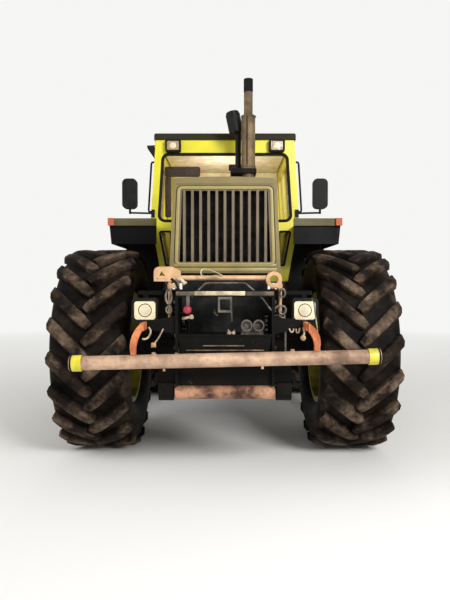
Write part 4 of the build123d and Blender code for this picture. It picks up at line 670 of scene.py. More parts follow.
def hood_fittings():
    """The bezel's raised lip and foot bars, shut lines and side louvres, and two rubber draw latches."""
    mesh = bmesh.new()
    strip(mesh, round_grille(1.03, 0.008, 0.004, 0.03), AHEAD, 0.026, -0.004, 0.007)
    for z, half, tall in BEZEL_BARS:
        panel(mesh, (-half, HOOD_FRONT - 0.006, z - tall), (half, HOOD_FRONT + 0.004, z + tall), 0.004)
    # the raised lip and foot bars take the paler olive: a painted highlight
    finish_piece(mesh, "bezel_lip", LIP_HIGHLIGHT, "hood")

    mesh = bmesh.new()
    for half, foot, top in SHUT_LINES:
        panel(mesh, (-half, HOOD_FRONT - 0.001, foot), (half, HOOD_FRONT + 0.002, top), 0.0008)
    strip(mesh, round_grille(1.075, 0.022, 0.012, 0.04), AHEAD, 0.005, -0.002, 0.002)
    for side in SIDES:
        # each louvre's slot is a flat black bar: painted shade inside the slot
        for y in (LOUVRE_START + n * LOUVRE_PITCH for n in range(LOUVRES)):
            for z in LOUVRE_ROWS:
                x = side * (HOOD_HIGH.x - HOOD_LEAN * (z + 0.05 - HOOD_LOW.z))
                panel(mesh, (x - side * 0.010, y, z),
                      (x + side * 0.003, y + LOUVRE_LONG, z + LOUVRE_TALL), 0.003)
    finish_piece(mesh, "hood_shut_lines_and_louvres", SOOT_AND_SLOT_SHADE, "hood")

    mesh = bmesh.new()
    for side in SIDES:
        x = side * (HOOD_HIGH.x - 0.002)
        panel(mesh, (x - side * 0.008, -1.75, 1.60), (x + side * 0.010, -1.71, 1.70), 0.004)
        panel(mesh, (x - side * 0.008, -1.76, 1.585), (x + side * 0.014, -1.70, 1.61), 0.004)
    finish_piece(mesh, "hood_latches", RUBBER, "hood")


hood_fittings()


# ------------------------------------------------------------------ exhaust, cab and mudguards
STACK_X, STACK_Y, STACK_TOP = 0.235, FRONT_Y + 0.47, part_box("exhaust_stack")[1].z
CLAMP_Z = (2.665, 3.165)
CEILING_Z = 2.974
DRIP_Z = 2.972
GUARD_R = 0.990              # the rear mudguards' rolled edges


def exhaust_fittings():
    """A sooty tip, the silencer's seam and bracket, and two clamps with their bolts."""
    mesh = bmesh.new()
    tip = [(0.0442, 0), (0.0465, 0.004), (0.0465, 0.1293), (0.0385, 0.1293), (0.0385, 0)]
    turned(mesh, (STACK_X, STACK_Y, STACK_TOP - 0.13), UP, tip, 32, closed=True)
    panel(mesh, (STACK_X - 0.020, STACK_Y - 0.0716, 2.66), (STACK_X - 0.010, STACK_Y - 0.060, 3.19), 0.002)
    panel(mesh, (0.056, STACK_Y - 0.080, 2.597), (0.315, STACK_Y + 0.165, 2.648), 0.008)
    finish_piece(mesh, "exhaust_tip_and_seam", SOOT_AND_SLOT_SHADE)

    mesh = bmesh.new()
    clamp = [(0.069, 0), (0.0735, 0.003), (0.0735, 0.017), (0.069, 0.020)]
    for z in CLAMP_Z:
        turned(mesh, (STACK_X, STACK_Y, z), UP, clamp, 32, closed=True)
        bolt(mesh, (STACK_X + 0.072, STACK_Y - 0.012, z + 0.010), (1, -0.2, 0), 0.010)
    finish_piece(mesh, "silencer_clamps", EXHAUST)


def cab_inside():
    """A rolled blind, side screen, mirror and lever console behind the glass, and the pale lining."""
    mesh = bmesh.new()
    panel(mesh, (-0.655, CAB_FRONT + 0.055, 2.655), (-0.270, CAB_FRONT + 0.085, 2.765), 0.020)
    panel(mesh, (-0.655, CAB_FRONT + 0.070, 2.22), (-0.590, CAB_FRONT + 0.13, 2.66), 0.015)
    panel(mesh, (0.04, CAB_FRONT + 0.060, 2.72), (0.24, CAB_FRONT + 0.085, 2.79), 0.010)
    rod(mesh, (0.14, CAB_FRONT + 0.07, 2.78), (0.14, CAB_FRONT + 0.07, 2.90), 0.008)
    panel(mesh, (0.36, 0.25, 1.58), (0.52, 0.80, 2.02), 0.02)
    for x in (0.40 + n * 0.035 for n in range(4)):
        rod(mesh, (x, 0.36, 2.00), (x, 0.34, 2.14), 0.006)
        turned(mesh, (x, 0.34, 2.13), (0, -0.1, 1),
               [(0.006, 0), (0.014, 0.010), (0.014, 0.024), (0.006, 0.032)])
    finish_piece(mesh, "cab_inside_fittings", PLASTIC)

    mesh = bmesh.new()
    wall, skin = CAB_BACK - 0.064, CAB_BACK - 0.050
    panel(mesh, (-0.685, CAB_FRONT + 0.06, CEILING_Z), (0.685, CAB_BACK - 0.06, CEILING_Z + 0.012), 0.004)
    panel(mesh, (-0.690, wall, 2.892), (0.690, skin, 2.970), 0.004)
    panel(mesh, (-0.700, wall, 1.75), (0.700, skin, 2.222), 0.004)
    for side in SIDES:
        panel(mesh, (side * 0.620, wall, 2.225), (side * 0.695, skin, 2.890), 0.004)
    finish_piece(mesh, "cab_lining", LINING)


def cab_outside():
    """A gusset under the roof at one front corner, the parked wiper, drip rails, grab rails and mirror glass,
    and the rolled edges of the rear mudguards."""
    mesh = bmesh.new()
    gusset = [(-0.740, 2.990), (-0.845, 2.985), (-0.838, 2.955), (-0.752, 2.830)]
    face = mesh.faces.new([mesh.verts.new((x, CAB_FRONT + 0.03, z)) for x, z in gusset])
    raised = bmesh.ops.extrude_face_region(mesh, geom=[face])["geom"]
    verts = [part for part in raised if isinstance(part, bmesh.types.BMVert)]
    bmesh.ops.translate(mesh, verts=verts, vec=(0, 0.05, 0))
    finish_piece(mesh, "roof_corner_gusset", PLASTIC, angle=20)

    mesh = bmesh.new()
    elbow = (0.02, CAB_FRONT - 0.022, 2.215)
    pivot = [(0.022, 0), (0.022, 0.014), (0.012, 0.022), (0.012, 0.03)]
    turned(mesh, (-0.42, CAB_FRONT + 0.004, 2.125), AHEAD, pivot)
    rod(mesh, (-0.42, CAB_FRONT - 0.020, 2.125), elbow, 0.005)
    panel(mesh, (-0.26, CAB_FRONT - 0.016, 2.206), (0.28, CAB_FRONT - 0.004, 2.218), 0.002)
    rod(mesh, elbow, (0.02, CAB_FRONT - 0.010, 2.212), 0.005)
    finish_piece(mesh, "wiper", PLASTIC)

    mesh = bmesh.new()
    for side in SIDES:
        x = side * (skin_x(DRIP_Z) + 0.004)
        rod(mesh, (x, CAB_FRONT + 0.02, DRIP_Z), (x, CAB_BACK - 0.02, DRIP_Z), 0.009, 12)
    finish_piece(mesh, "drip_rails", LIME)

    turns = [math.radians(49 + 92 * n / 16) for n in range(17)]
    # the rolled edges are near black: painted shade, as on the mudguards
    bars("mudguard_edges", BLACK_AND_SHADE, [
        (0.009, "curved", [(side * x, REAR_Y + GUARD_R * math.cos(turn), AXLE_Z + GUARD_R * math.sin(turn))
                           for turn in turns]) for side in SIDES for x in (1.423, 0.790)])

    foot, top, y = 2.28, 2.82, -0.30
    bars("cab_grab_rails", PLASTIC, [
        (0.011, "straight", bent([(side * (skin_x(foot) - 0.01), y, foot), (side * 0.838, y, foot),
                                  (side * 0.804, y, top), (side * (skin_x(top) - 0.01), y, top)]))
        for side in SIDES])

    mesh = bmesh.new()
    for x in (1.015, -1.015):      # on the rear face of each head
        panel(mesh, (x - 0.066, -0.433, 2.305), (x + 0.066, -0.4275, 2.595), 0.002)
    finish_piece(mesh, "mirror_glass", MIRROR)


exhaust_fittings()
cab_inside()
cab_outside()


# ------------------------------------------------------------------ driver's seat
SEAT_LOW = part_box("driver_seat")[0].z
SEAT_LEAN = math.atan2(0.11, 0.56)
# a cushion's layers: how far each reaches towards the outline, and how high it lies in the pad
CUSHION = ((1.0, 0.16), (0.985, 0.46), (1.0, 0.74), (0.93, 0.93), (0.72, 1.0), (0.36, 1.0))
CUSHION_FOOT = 0.90          # the seam at its foot is drawn in to this share


def cushion(outline, low, high, crown):
    """A crowned pad over a rounded outline in X and Y: sides drawn in at the seam, top swelling."""
    mesh = bmesh.new()
    centre = sum(outline, Vector()) / len(outline)
    centre.z = low
    face = mesh.faces.new([mesh.verts.new((place.x, place.y, low)) for place in outline])
    bmesh.ops.scale(mesh, verts=face.verts, vec=(CUSHION_FOOT, CUSHION_FOOT, 1),
                    space=Matrix.Translation(-centre))
    before_share, before_rise = CUSHION_FOOT, 0.0
    for share, rise in CUSHION:
        lifted = bmesh.ops.extrude_face_region(mesh, geom=[face])["geom"]
        face = next(part for part in lifted if isinstance(part, bmesh.types.BMFace))
        grown = share / before_share
        bmesh.ops.scale(mesh, verts=face.verts, vec=(grown, grown, 1), space=Matrix.Translation(-centre))
        lift = (high - low) * (rise - before_rise) + (crown if share == CUSHION[-1][0] else 0.0)
        bmesh.ops.translate(mesh, verts=face.verts, vec=(0, 0, lift))
        before_share, before_rise = share, rise
    return mesh


def driver_seat():
    """A pedestal, and a cushion and back in cloth that stand for the CAD's seat."""
    mesh = bmesh.new()
    pedestal = [(0.19, 0), (0.19, 0.03), (0.11, 0.06), (0.10, 0.30), (0.16, 0.329)]
    turned(mesh, (0, 0.51, SEAT_LOW + 0.001), UP, pedestal, 4)
    panel(mesh, (-0.20, 0.30, SEAT_LOW + 0.30), (0.20, 0.72, SEAT_LOW + 0.332), 0.006)
    finish_piece(mesh, "seat_pedestal", PLASTIC)

    outline = rounded([(-0.243, 0.256, 0), (0.243, 0.256, 0), (0.243, 0.735, 0), (-0.243, 0.735, 0)], 0.07, 5)
    mesh = cushion(outline, SEAT_LOW + 0.330, SEAT_LOW + 0.432, 0.012)
    seat = finish_piece(mesh, "seat_cushion", CLOTH, angle=75)

    outline = rounded([(-0.235, -0.04, 0), (0.235, -0.04, 0), (0.235, 0.52, 0), (-0.235, 0.52, 0)], 0.08, 5)
    mesh = cushion(outline, -0.062, 0.020, 0.012)
    for vert in mesh.verts:
        across, along, out = vert.co
        vert.co = Vector((across, 0.752 + along * math.sin(SEAT_LEAN) - out * math.cos(SEAT_LEAN),
                          SEAT_LOW + 0.470 + along * math.cos(SEAT_LEAN) - out * math.sin(SEAT_LEAN)))
    back = finish_piece(mesh, "seat_back", CLOTH, angle=75)
    for piece in (seat, back):
        smooth = piece.modifiers.new("smooth", "SUBSURF")
        smooth.levels = smooth.render_levels = 2
    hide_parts("driver_seat")


driver_seat()


# ------------------------------------------------------------------ lamps
HEADLAMP_X, HEADLAMP_Y, HEADLAMP_Z = 0.604, -2.2995, 1.294
ROOF_LAMP_X, ROOF_LAMP_Y, ROOF_LAMP_Z = 0.555, -0.4515, 2.968
# the lamps' bezels: place, width, height, corner and moulding
BEZELS = ((HEADLAMP_X, -2.310, HEADLAMP_Z, 0.181, 0.158, 0.026, 0.016),
          (ROOF_LAMP_X, -0.460, ROOF_LAMP_Z, 0.142, 0.110, 0.018, 0.010))


def lamp_fittings():
    """Black bezels, the dark ring of each headlamp's bulb shield, and a bright bowl in every lamp."""
    mesh = bmesh.new()
    for x, y, z, wide, tall, corner, width in BEZELS:
        for side in SIDES:
            corners = [(side * x + a * wide / 2, y, z + b * tall / 2)
                       for a, b in ((-1, -1), (1, -1), (1, 1), (-1, 1))]
            strip(mesh, rounded(corners, corner), AHEAD, width, -0.004, 0.004)
    finish_piece(mesh, "lamp_bezels", PLASTIC)

    mesh = bmesh.new()
    shield = [(0.052, -0.002), (0.052, 0.003), (0.045, 0.0045), (0.043, -0.002)]
    for side in SIDES:
        turned(mesh, (side * HEADLAMP_X, HEADLAMP_Y, HEADLAMP_Z), AHEAD, shield, 40, closed=True)
    finish_piece(mesh, "headlamp_rings", DARK_STEEL)

    mesh = bmesh.new()
    bowl = [(0.0425, -0.002), (0.0425, 0.002), (0.03, 0.0035), (0.012, 0.0045)]
    for side in SIDES:
        turned(mesh, (side * HEADLAMP_X, HEADLAMP_Y, HEADLAMP_Z), AHEAD, bowl, 40)
    bowl = [(0.034, -0.002), (0.034, 0.002), (0.02, 0.0035), (0.008, 0.0045)]
    for side in SIDES:
        turned(mesh, (side * ROOF_LAMP_X, ROOF_LAMP_Y, ROOF_LAMP_Z), AHEAD, bowl, 32)
    finish_piece(mesh, "lamp_bowls", CHROME)


lamp_fittings()


# ------------------------------------------------------------------ guard bar
BAR_Y, BAR_Z = FRONT_Y - 1.344, 0.957
BAR_HALF = 1.095
BAR_DROP = 0.025             # one end hangs lower than the middle by this, the other higher
BAND_INNER, BAND_OUTER = 1.008, 1.078


def bar_point(x, up=0.0):
    """A point on the guard bar's middle line, or above it."""
    return Vector((x, BAR_Y, BAR_Z + BAR_DROP * x / BAR_HALF + up))


def guard_fittings():
    """Lime bands and rubber plugs at the bar's ends, its bolts, and the pin ends under it."""
    mesh = bmesh.new()
    band = [(0.054, 0), (0.0578, 0.002), (0.0578, 0.066), (0.054, 0.068)]
    for side in SIDES:
        start = bar_point(side * BAND_INNER)
        turned(mesh, start, bar_point(side * BAND_OUTER) - start, band, 40, closed=True)
    finish_piece(mesh, "bar_end_bands", LIME)

    mesh = bmesh.new()
    plug = [(0.0575, 0), (0.0575, 0.010), (0.050, 0.0165), (0.020, 0.0165)]
    for side in SIDES:
        start = bar_point(side * BAND_OUTER)
        turned(mesh, start, bar_point(side * 1.096) - start, plug, 40)
    finish_piece(mesh, "bar_end_plugs", RUBBER)

    mesh = bmesh.new()
    for x in (-0.503, 0.476):
        bolt(mesh, bar_point(x, 0.048), UP, 0.026)
    for x in (-0.431, 0.264):
        rod(mesh, bar_point(x, -0.046), bar_point(x, -0.070), 0.010)
    finish_piece(mesh, "bar_bolts", TAN)


guard_fittings()


# ------------------------------------------------------------------ carrier's fittings
CARRIER_Y = FRONT_Y - 1.125  # the plane in which the carrier's small fittings hang
CARRIER_FACE = FRONT_Y - 1.190


def hung(x, out, z):
    """A place given by how far it stands out from the carrier's plane."""
    return Vector((x, CARRIER_Y - out, z))


def hung_run(*places):
    """The places of a bar, each as (x, out, z)."""
    return [hung(*place) for place in places]


# the latch wire on the cross shaft, and a small hook on the shelf
WIRES = (
    (0.0045, "loop", hung_run((-0.178, 0.012, 1.572), (-0.168, 0.012, 1.598), (-0.135, 0.012, 1.600),
                              (-0.030, 0.012, 1.560), (-0.022, 0.012, 1.553), (-0.060, 0.012, 1.556),
                              (-0.130, 0.012, 1.546), (-0.165, 0.012, 1.553))),
    (0.006, "curved", hung_run((0.022, 0, 1.152), (0.048, 0.01, 1.132), (0.074, 0, 1.152))))
# the prop bow over the beam, then a prop, levers and rods beside and below it
RODS = (
    (0.0075, "straight", bent(hung_run((-0.245, 0.05, 1.395), (-0.141, 0.05, 1.500), (0.148, 0.05, 1.500),
                                       (0.267, 0.05, 1.396), (0.345, 0.05, 1.292),
                                       (0.393, 0.05, 1.337)), 0.016)),
    (0.009, "straight", bent(hung_run((-0.074, 0.03, 1.300), (-0.074, 0.055, 1.280),
                                      (-0.052, 0.055, 1.262)), 0.008)),
    (0.008, "curved", hung_run((0.042, 0.035, 1.395), (0.046, 0.055, 1.300), (0.050, 0.03, 1.215))),
    (0.009, "straight", bent(hung_run((0.438, -0.01, 1.300), (0.449, -0.01, 1.144),
                                      (0.449, -0.01, 0.985)), 0.03)),
    (0.008, "curved", hung_run((-0.367, 0.02, 1.120), (-0.352, 0.035, 1.050), (-0.335, 0.02, 0.955))),
    (0.008, "curved", hung_run((-0.327, 0.02, 1.121), (-0.306, 0.035, 1.050), (-0.302, 0.02, 0.950))),
    (0.0055, "straight", bent(hung_run((0.640, 0.02, 1.385), (0.650, 0.06, 1.36),
                                       (0.676, 0.19, 1.000)), 0.012)))
BRAKE_PIPE = ((0.010, "curved", hung_run((-0.395, 0.03, 1.530), (-0.360, 0.05, 1.500), (-0.330, 0.05, 1.440),
                                         (-0.270, 0.045, 1.415), (-0.225, 0.03, 1.425))),)
# links under the cross shaft's ends: across, height, width, length
LINKS = ((-0.414, 1.396, 0.034, 0.105), (-0.414, 1.300, 0.030, 0.052), (0.424, 1.425, 0.030, 0.060),
         (0.424, 1.300, 0.040, 0.060), (0.424, 1.222, 0.026, 0.044))
# pins and hooks on the outer arms
HOOKS = (
    (0.007, "curved", hung_run((-0.560, 0.055, 1.176), (-0.545, 0.060, 1.150), (-0.556, 0.060, 1.112),
                               (-0.575, 0.060, 1.092), (-0.606, 0.060, 1.089))),
    (0.006, "curved", hung_run((-0.452, 0.055, 1.165), (-0.480, 0.060, 1.110), (-0.518, 0.060, 1.055))),
    (0.006, "curved", hung_run((0.470, 0.055, 1.165), (0.490, 0.060, 1.140), (0.505, 0.060, 1.165))),
    (0.006, "curved", hung_run((0.520, 0.055, 1.165), (0.532, 0.060, 1.135), (0.548, 0.060, 1.170))),
    (0.007, "curved", hung_run((0.574, 0.055, 1.175), (0.580, 0.060, 1.135), (0.572, 0.060, 1.100))))
BEAM_ENDS = ((-0.358, -0.226), (0.151, 0.358))
# worn edges of the shelves: height, and from where to where across
SHELF_EDGES = ((1.040, -0.163, 0.141), (1.007, -0.285, 0.285), (0.980, -0.280, -0.190), (0.980, 0.100, 0.275))


def link_loop(x, z, wide, tall):
    """One long link, seen from the front."""
    shape = ((-0.5, -0.3), (0, -0.5), (0.5, -0.3), (0.5, 0.3), (0, 0.5), (-0.5, 0.3))
    return hung_run(*((x + a * wide, 0.02, z + b * tall) for a, b in shape))


def carrier_fittings():
    """Wires, rods, pipe, links, couplings, hooks and pins on the front carrier."""
    bars("latch_wire", CREAM, WIRES)
    bars("carrier_rods", STEEL, RODS)
    bars("brake_pipe", PLASTIC, BRAKE_PIPE)
    bars("hanger_links", STEEL, [(0.0085, "loop", link_loop(*link)) for link in LINKS])

    # a pipe elbow and its collar, a coupling's stub with its hexagon, two knobs, the beam's rubbed edge
    mesh = bmesh.new()
    rod(mesh, hung(-0.356, 0, 1.535), hung(-0.322, 0, 1.525), 0.016)
    rod(mesh, hung(-0.328, 0, 1.530), hung(-0.298, 0, 1.496), 0.014)
    collar = [(0.018, 0), (0.020, 0.005), (0.020, 0.014), (0.015, 0.018)]
    turned(mesh, hung(-0.304, 0, 1.503), (0.6, 0, -0.8), collar)
    rod(mesh, hung(-0.319, 0.02, 1.238), hung(-0.252, 0.02, 1.248), 0.011)
    turned(mesh, hung(-0.258, 0.02, 1.247), (1, 0, 0.15), [(0.018, 0), (0.018, 0.02), (0.011, 0.026)], 6)
    for x in (0.030, 0.062):
        turned(mesh, hung(x, 0.03, 1.112), UP, [(0.010, 0), (0.016, 0.010), (0.016, 0.024), (0.008, 0.032)])
    panel(mesh, (-0.223, CARRIER_FACE - 0.006, 1.409), (0.148, CARRIER_FACE + 0.004, 1.440), 0.003)
    finish_piece(mesh, "cream_couplings", CREAM)

    mesh = bmesh.new()
    for x0, x1 in BEAM_ENDS:
        panel(mesh, (x0, CARRIER_FACE - 0.004, 1.408), (x1, CARRIER_FACE + 0.004, 1.438), 0.003)
    for z, x0, x1 in SHELF_EDGES:
        panel(mesh, (x0, CARRIER_FACE - 0.006, z - 0.004), (x1, CARRIER_FACE + 0.02, z + 0.004), 0.002)
    finish_piece(mesh, "worn_edges", WORN)

    bars("pins_and_hooks", CREAM, HOOKS)
    mesh = bmesh.new()
    square = [(0.010, 0), (0.024, 0.008), (0.024, 0.022), (0.010, 0.030)]
    knob = [(0.010, 0), (0.020, 0.006), (0.020, 0.022), (0.010, 0.030)]
    turned(mesh, hung(-0.523, 0.075, 1.046), BACK, square, 4)
    turned(mesh, hung(0.572, 0.075, 1.098), BACK, knob, 12)
    finish_piece(mesh, "pin_heads", PEACH)

    mesh = bmesh.new()
    cap = [(0.029, -0.03), (0.031, 0), (0.031, 0.018), (0.022, 0.032), (0.008, 0.036)]
    turned(mesh, hung(-0.270, 0.120, 1.306), AHEAD, cap, 28)
    finish_piece(mesh, "red_brake_cap", RED)


carrier_fittings()


# ------------------------------------------------------------------ wheels and axles
NUT_CIRCLE, NUTS = 0.205, 10
HUB_CIRCLE, HUB_BOLTS = 0.112, 8
HUB_FACE = 0.148             # outwards from the rim's middle
RAIL_X, CARRIER_SIDE_X = 0.341, 0.366
COIL_X, COIL_FOOT, COIL_RISE = 0.430, 1.000, 0.285
COIL_R, COIL_TURNS = 0.067, 7
RAIL_BOLTS = [(RAIL_X, FRONT_Y - 0.85, 1.18), (RAIL_X, FRONT_Y - 0.55, 1.18), (RAIL_X, FRONT_Y + 0.45, 1.22),
              (RAIL_X, FRONT_Y + 0.75, 1.22), (RAIL_X, FRONT_Y + 1.0, 1.14), (RAIL_X, REAR_Y + 0.6, 1.18)]
CARRIER_BOLTS = [(CARRIER_SIDE_X, FRONT_Y - 1.14, 1.36), (CARRIER_SIDE_X, FRONT_Y - 1.06, 1.22),
                 (CARRIER_SIDE_X, FRONT_Y - 1.14, 1.02)]
# each axle's place, the reach to its cover, the cover's bolt circle and bolts, and the drain plug's depth
AXLE_COVERS = ((FRONT_Y, 0.225, 0.098, 8, 0.203), (REAR_Y, 0.240, 0.135, 10, 0.223))


def wheel_fittings(wheel, side):
    """Ten wheel nuts on their studs, eight hub bolts, the hub's cap nut, and the valve."""
    centre = middle(f"rim_{wheel}")
    mesh = bmesh.new()
    nut = [(0.024, 0), (0.024, 0.022), (0.019, 0.024), (0.019, 0.040), (0.013, 0.044), (0.011, 0.056)]
    for along, up in round_ring(NUTS, NUT_CIRCLE):
        turned(mesh, centre + Vector((side * 0.060, along, up)), (side, 0, 0), nut, 6)
    for along, up in round_ring(HUB_BOLTS, HUB_CIRCLE, 0.5):
        bolt(mesh, centre + Vector((side * HUB_FACE, along, up)), (side, 0, 0), 0.018)
    cap = [(0.030, 0), (0.030, 0.008), (0.016, 0.010), (0.016, 0.018)]
    turned(mesh, centre + Vector((side * HUB_FACE, 0, 0)), (side, 0, 0), cap, 6)
    finish_piece(mesh, f"wheel_nuts_{wheel}", STEEL, f"wheel_{wheel}")

    mesh = bmesh.new()
    rod(mesh, centre + Vector((side * 0.055, 0, 0.440)), centre + Vector((side * 0.125, 0, 0.425)), 0.006)
    valve_cap = [(0.008, 0), (0.008, 0.016), (0.005, 0.020)]
    turned(mesh, centre + Vector((side * 0.120, 0, 0.426)), (side, 0, -0.2), valve_cap)
    finish_piece(mesh, f"valve_{wheel}", RUBBER, f"wheel_{wheel}")


def axle_fittings():
    """Front coil springs, the bolts and drain plugs of the axles' covers, and the frame's bolts."""
    steps = 8 * COIL_TURNS
    coils = []
    for side in SIDES:
        turns = [math.tau * n / 8 for n in range(steps + 1)]
        coils.append((0.009, "curved", [
            (side * COIL_X + COIL_R * math.cos(turn), FRONT_Y + COIL_R * math.sin(turn),
             COIL_FOOT + COIL_RISE * n / steps) for n, turn in enumerate(turns)]))
    bars("front_coil_springs", DARK_STEEL, coils)

    mesh = bmesh.new()
    for y, reach, circle, count, drain in AXLE_COVERS:
        for across, up in round_ring(count, circle):
            bolt(mesh, (across, y - reach, AXLE_Z + up), AHEAD, 0.014)
        bolt(mesh, (0, y, AXLE_Z - drain), DOWN, 0.022)
    for places, across in ((RAIL_BOLTS, 0.024), (CARRIER_BOLTS, 0.022)):
        for place in both_sides(places):
            bolt(mesh, place, (place.x, 0, 0), across)
    finish_piece(mesh, "axle_and_frame_bolts", DARK_STEEL)


for wheel, side in WHEELS:
    wheel_fittings(wheel, side)
axle_fittings()


# ------------------------------------------------------------------ deck, steps, tanks, engine top
DECK_LOW, DECK_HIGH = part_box("rear_deck")
TANK_LOW, TANK_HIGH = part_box("side_tanks")
STUD_LONG, STUD_WIDE, STUD_TALL = 0.036, 0.012, 0.006
STUD_SUNK = 0.0005
STEP_Z = (0.870, 1.200)
STEP_X = ((0.965, 1.105), (-1.105, -0.965))
COVER_Z = 1.960              # the engine block's top
COVER_START, COVER_PITCH, COVERS = -1.60, 0.175, 6


def stud(mesh, place, turn):
    """One raised bar of a tread plate, narrower at its top."""
    verts = bmesh.ops.create_cube(mesh, size=1.0)["verts"]
    for vert in verts:
        narrow = 0.6 if vert.co.z > 0 else 1.0
        vert.co = Vector((vert.co.x * STUD_LONG * narrow, vert.co.y * STUD_WIDE * narrow,
                          vert.co.z * STUD_TALL))
    bmesh.ops.rotate(mesh, verts=verts, cent=(0, 0, 0), matrix=Matrix.Rotation(turn, 3, "Z"))
    bmesh.ops.translate(mesh, verts=verts, vec=place)


def tread(mesh, x0, x1, y0, y1, z, step=0.062):
    """Studs over a plate, each turned across its neighbours."""
    across, along = int((x1 - x0) / step), int((y1 - y0) / step)
    for i in range(across):
        for j in range(along):
            place = Vector((x0 + (i + 0.5) * (x1 - x0) / across, y0 + (j + 0.5) * (y1 - y0) / along, z))
            stud(mesh, place, math.radians(45 if (i + j) % 2 else -45))


def deck_fittings():
    """Tread studs on deck and steps, hydraulic couplings, deck bolts and reflectors."""
    mesh = bmesh.new()
    tread(mesh, DECK_LOW.x + 0.03, DECK_HIGH.x - 0.03, DECK_LOW.y + 0.03, DECK_HIGH.y - 0.03,
          DECK_HIGH.z - STUD_SUNK)
    for z in STEP_Z:
        for x0, x1 in STEP_X:
            tread(mesh, x0, x1, -0.045, 0.335, z - STUD_SUNK, 0.05)
    finish_piece(mesh, "tread_studs", WORN, smooth=False)

    mesh = bmesh.new()
    coupling = [(0.022, 0), (0.022, 0.010), (0.016, 0.012), (0.016, 0.030), (0.019, 0.032), (0.019, 0.046),
                (0.010, 0.048)]
    for x in (-0.30, -0.21, 0.21, 0.30):
        turned(mesh, (x, DECK_HIGH.y - 0.004, DECK_HIGH.z - 0.030), BACK, coupling, 20)
    for place in both_sides([(0.70, DECK_HIGH.y - 0.08, DECK_HIGH.z), (0.70, DECK_LOW.y + 0.08, DECK_HIGH.z),
                             (0.25, DECK_HIGH.y - 0.08, DECK_HIGH.z)]):
        bolt(mesh, place, UP, 0.022)
    finish_piece(mesh, "deck_couplings_and_bolts", STEEL)

    mesh = bmesh.new()
    reflector = [(0.030, 0), (0.030, 0.006), (0.025, 0.009)]
    for x in (0.46, -0.46):
        turned(mesh, (x, DECK_HIGH.y - 0.002, DECK_HIGH.z - 0.030), BACK, reflector, 28)
    finish_piece(mesh, "rear_reflectors", RED)


def tank_fittings():
    """Steel straps round the tanks, and the caps of the fuel and oil fillers."""
    mesh = bmesh.new()
    for side in SIDES:
        for y in (TANK_LOW.y + 0.10, TANK_HIGH.y - 0.10):
            corners = [(side * x, y, z) for x, z in ((0.335, TANK_LOW.z), (0.960, TANK_LOW.z),
                                                     (0.960, TANK_HIGH.z), (0.335, TANK_HIGH.z))]
            strip(mesh, rounded(corners, 0.06), BACK, 0.008, -0.020, 0.020)
    finish_piece(mesh, "tank_straps", STEEL)

    mesh = bmesh.new()
    fuel = [(0.050, 0), (0.050, 0.020), (0.062, 0.022), (0.062, 0.042), (0.054, 0.050), (0.020, 0.052)]
    oil = [(0.030, 0), (0.030, 0.014), (0.038, 0.016), (0.038, 0.032), (0.030, 0.038)]
    turned(mesh, (0.78, 0.145, TANK_HIGH.z - 0.004), UP, fuel, 36)
    turned(mesh, (-0.78, 0.145, TANK_HIGH.z - 0.004), UP, oil, 30)
    finish_piece(mesh, "tank_caps", PLASTIC)


def engine_top():
    """Rocker covers with their bolts, and the radiator's cap, under the hood."""
    mesh = bmesh.new()
    for y in (COVER_START + n * COVER_PITCH for n in range(COVERS)):
        panel(mesh, (-0.135, y, COVER_Z - 0.005), (0.135, y + 0.150, COVER_Z + 0.022), 0.012)
        for x in (-0.11, 0.11):
            bolt(mesh, (x, y + 0.075, COVER_Z + 0.022), UP, 0.012)
    finish_piece(mesh, "rocker_covers", DARK_STEEL)

    mesh = bmesh.new()
    cap = [(0.030, 0), (0.030, 0.010), (0.036, 0.012), (0.036, 0.024), (0.020, 0.030)]
    turned(mesh, (0.18, -2.075, 2.222), UP, cap)
    finish_piece(mesh, "radiator_cap", PLASTIC)


deck_fittings()
tank_fittings()
engine_top()


# ------------------------------------------------------------------ floor, light, camera
PALE = "#F6F6F4"             # what the camera sees behind the object
LAMPS = (("key", (4.2, -9.0, 5.2), 2.8, 860), ("side", (-7.0, -4.0, 5.0), 4.0, 220),
         ("back", (0.0, 9.0, 5.0), 5.0, 260))     # place, size, power
LAMPS_AIM = Vector((0, 0, 1.4))
CAMERA_BACK = 5.4            # ahead of the front axle
CAMERA_Z = 1.5
CAMERA_DOWN = 1.69           # degrees


def seen_directly(tree):
    """1 for what the camera sees, also in metal and through glass, 0 for what only lights the object."""
    camera, glossy, through = (add(tree, "LightPath", out=f"Is {kind} Ray")
                               for kind in ("Camera", "Glossy", "Transmission"))
    seen = add(tree, "Math", {0: camera, 1: glossy}, operation="MAXIMUM")
    return add(tree, "Math", {0: seen, 1: through}, operation="MAXIMUM")


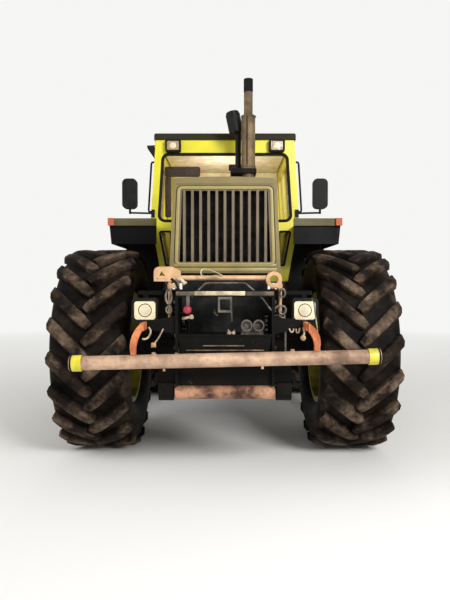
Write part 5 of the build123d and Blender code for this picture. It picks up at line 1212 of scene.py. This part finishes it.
def stage():
    """A pale floor that keeps the shadow near the object and turns to the background further out."""
    floor_mesh = bmesh.new()
    bmesh.ops.create_grid(floor_mesh, x_segments=2, y_segments=2, size=60)
    data = bpy.data.meshes.new("floor")
    floor_mesh.to_mesh(data)
    floor_mesh.free()
    floor = bpy.data.objects.new("floor", data)
    bpy.context.scene.collection.objects.link(floor)
    material, tree, place = start_material("studio_floor")
    near = add(tree, "BsdfPrincipled", {"Base Color": "#F4F3F1", "Roughness": 0.9})
    far = add(tree, "Emission", {"Color": PALE})
    share = add(tree, "VectorMath", {0: place}, out="Value", operation="LENGTH")
    share = add(tree, "MapRange", {"Value": share, "From Min": 2.5, "From Max": 13.0})
    share = add(tree, "Math", {0: share, 1: seen_directly(tree)}, operation="MULTIPLY")
    add(tree, "OutputMaterial", {"Surface": add(tree, "MixShader", {0: share, 1: near, 2: far})})
    data.materials.append(material)

    world = bpy.data.worlds.new("studio")
    bpy.context.scene.world = world
    world.use_nodes = True
    tree = world.node_tree
    tree.nodes.clear()
    fill = add(tree, "Background", {"Color": "#F4F3F0", "Strength": 0.42})
    white = add(tree, "Background", {"Color": PALE, "Strength": 1.0})
    add(tree, "OutputWorld", {"Surface": add(tree, "MixShader", {0: seen_directly(tree), 1: fill, 2: white})})


def hang(name, data, place):
    """A lamp or camera put in its place."""
    holder = bpy.data.objects.new(name, data)
    holder.location = place
    bpy.context.scene.collection.objects.link(holder)
    return holder


def lights():
    """Three soft lamps, and the cab's own light, which brings its lining up to the level outside."""
    for name, place, size, power in LAMPS:
        lamp = bpy.data.lights.new(name, "AREA")
        lamp.energy, lamp.size = power, size
        holder = hang(name, lamp, place)
        holder.rotation_euler = (LAMPS_AIM - Vector(place)).to_track_quat("-Z", "Y").to_euler()
    lamp = bpy.data.lights.new("cab_light", "POINT")
    lamp.energy, lamp.shadow_soft_size = 15, 0.3
    holder = hang("cab_light", lamp, (0.0, 0.25, 2.55))
    holder.visible_camera = holder.visible_glossy = holder.visible_transmission = False


def camera():
    """Looks straight at the front from a standing eye's height."""
    data = bpy.data.cameras.new("camera")
    data.lens, data.sensor_width = 34.6, 36
    holder = hang("camera", data, (0.0, FRONT_Y - CAMERA_BACK, CAMERA_Z))
    holder.rotation_euler = (math.radians(90 - CAMERA_DOWN), 0, 0)
    bpy.context.scene.camera = holder


stage()
lights()
camera()
bpy.context.scene.view_settings.view_transform = "Standard"
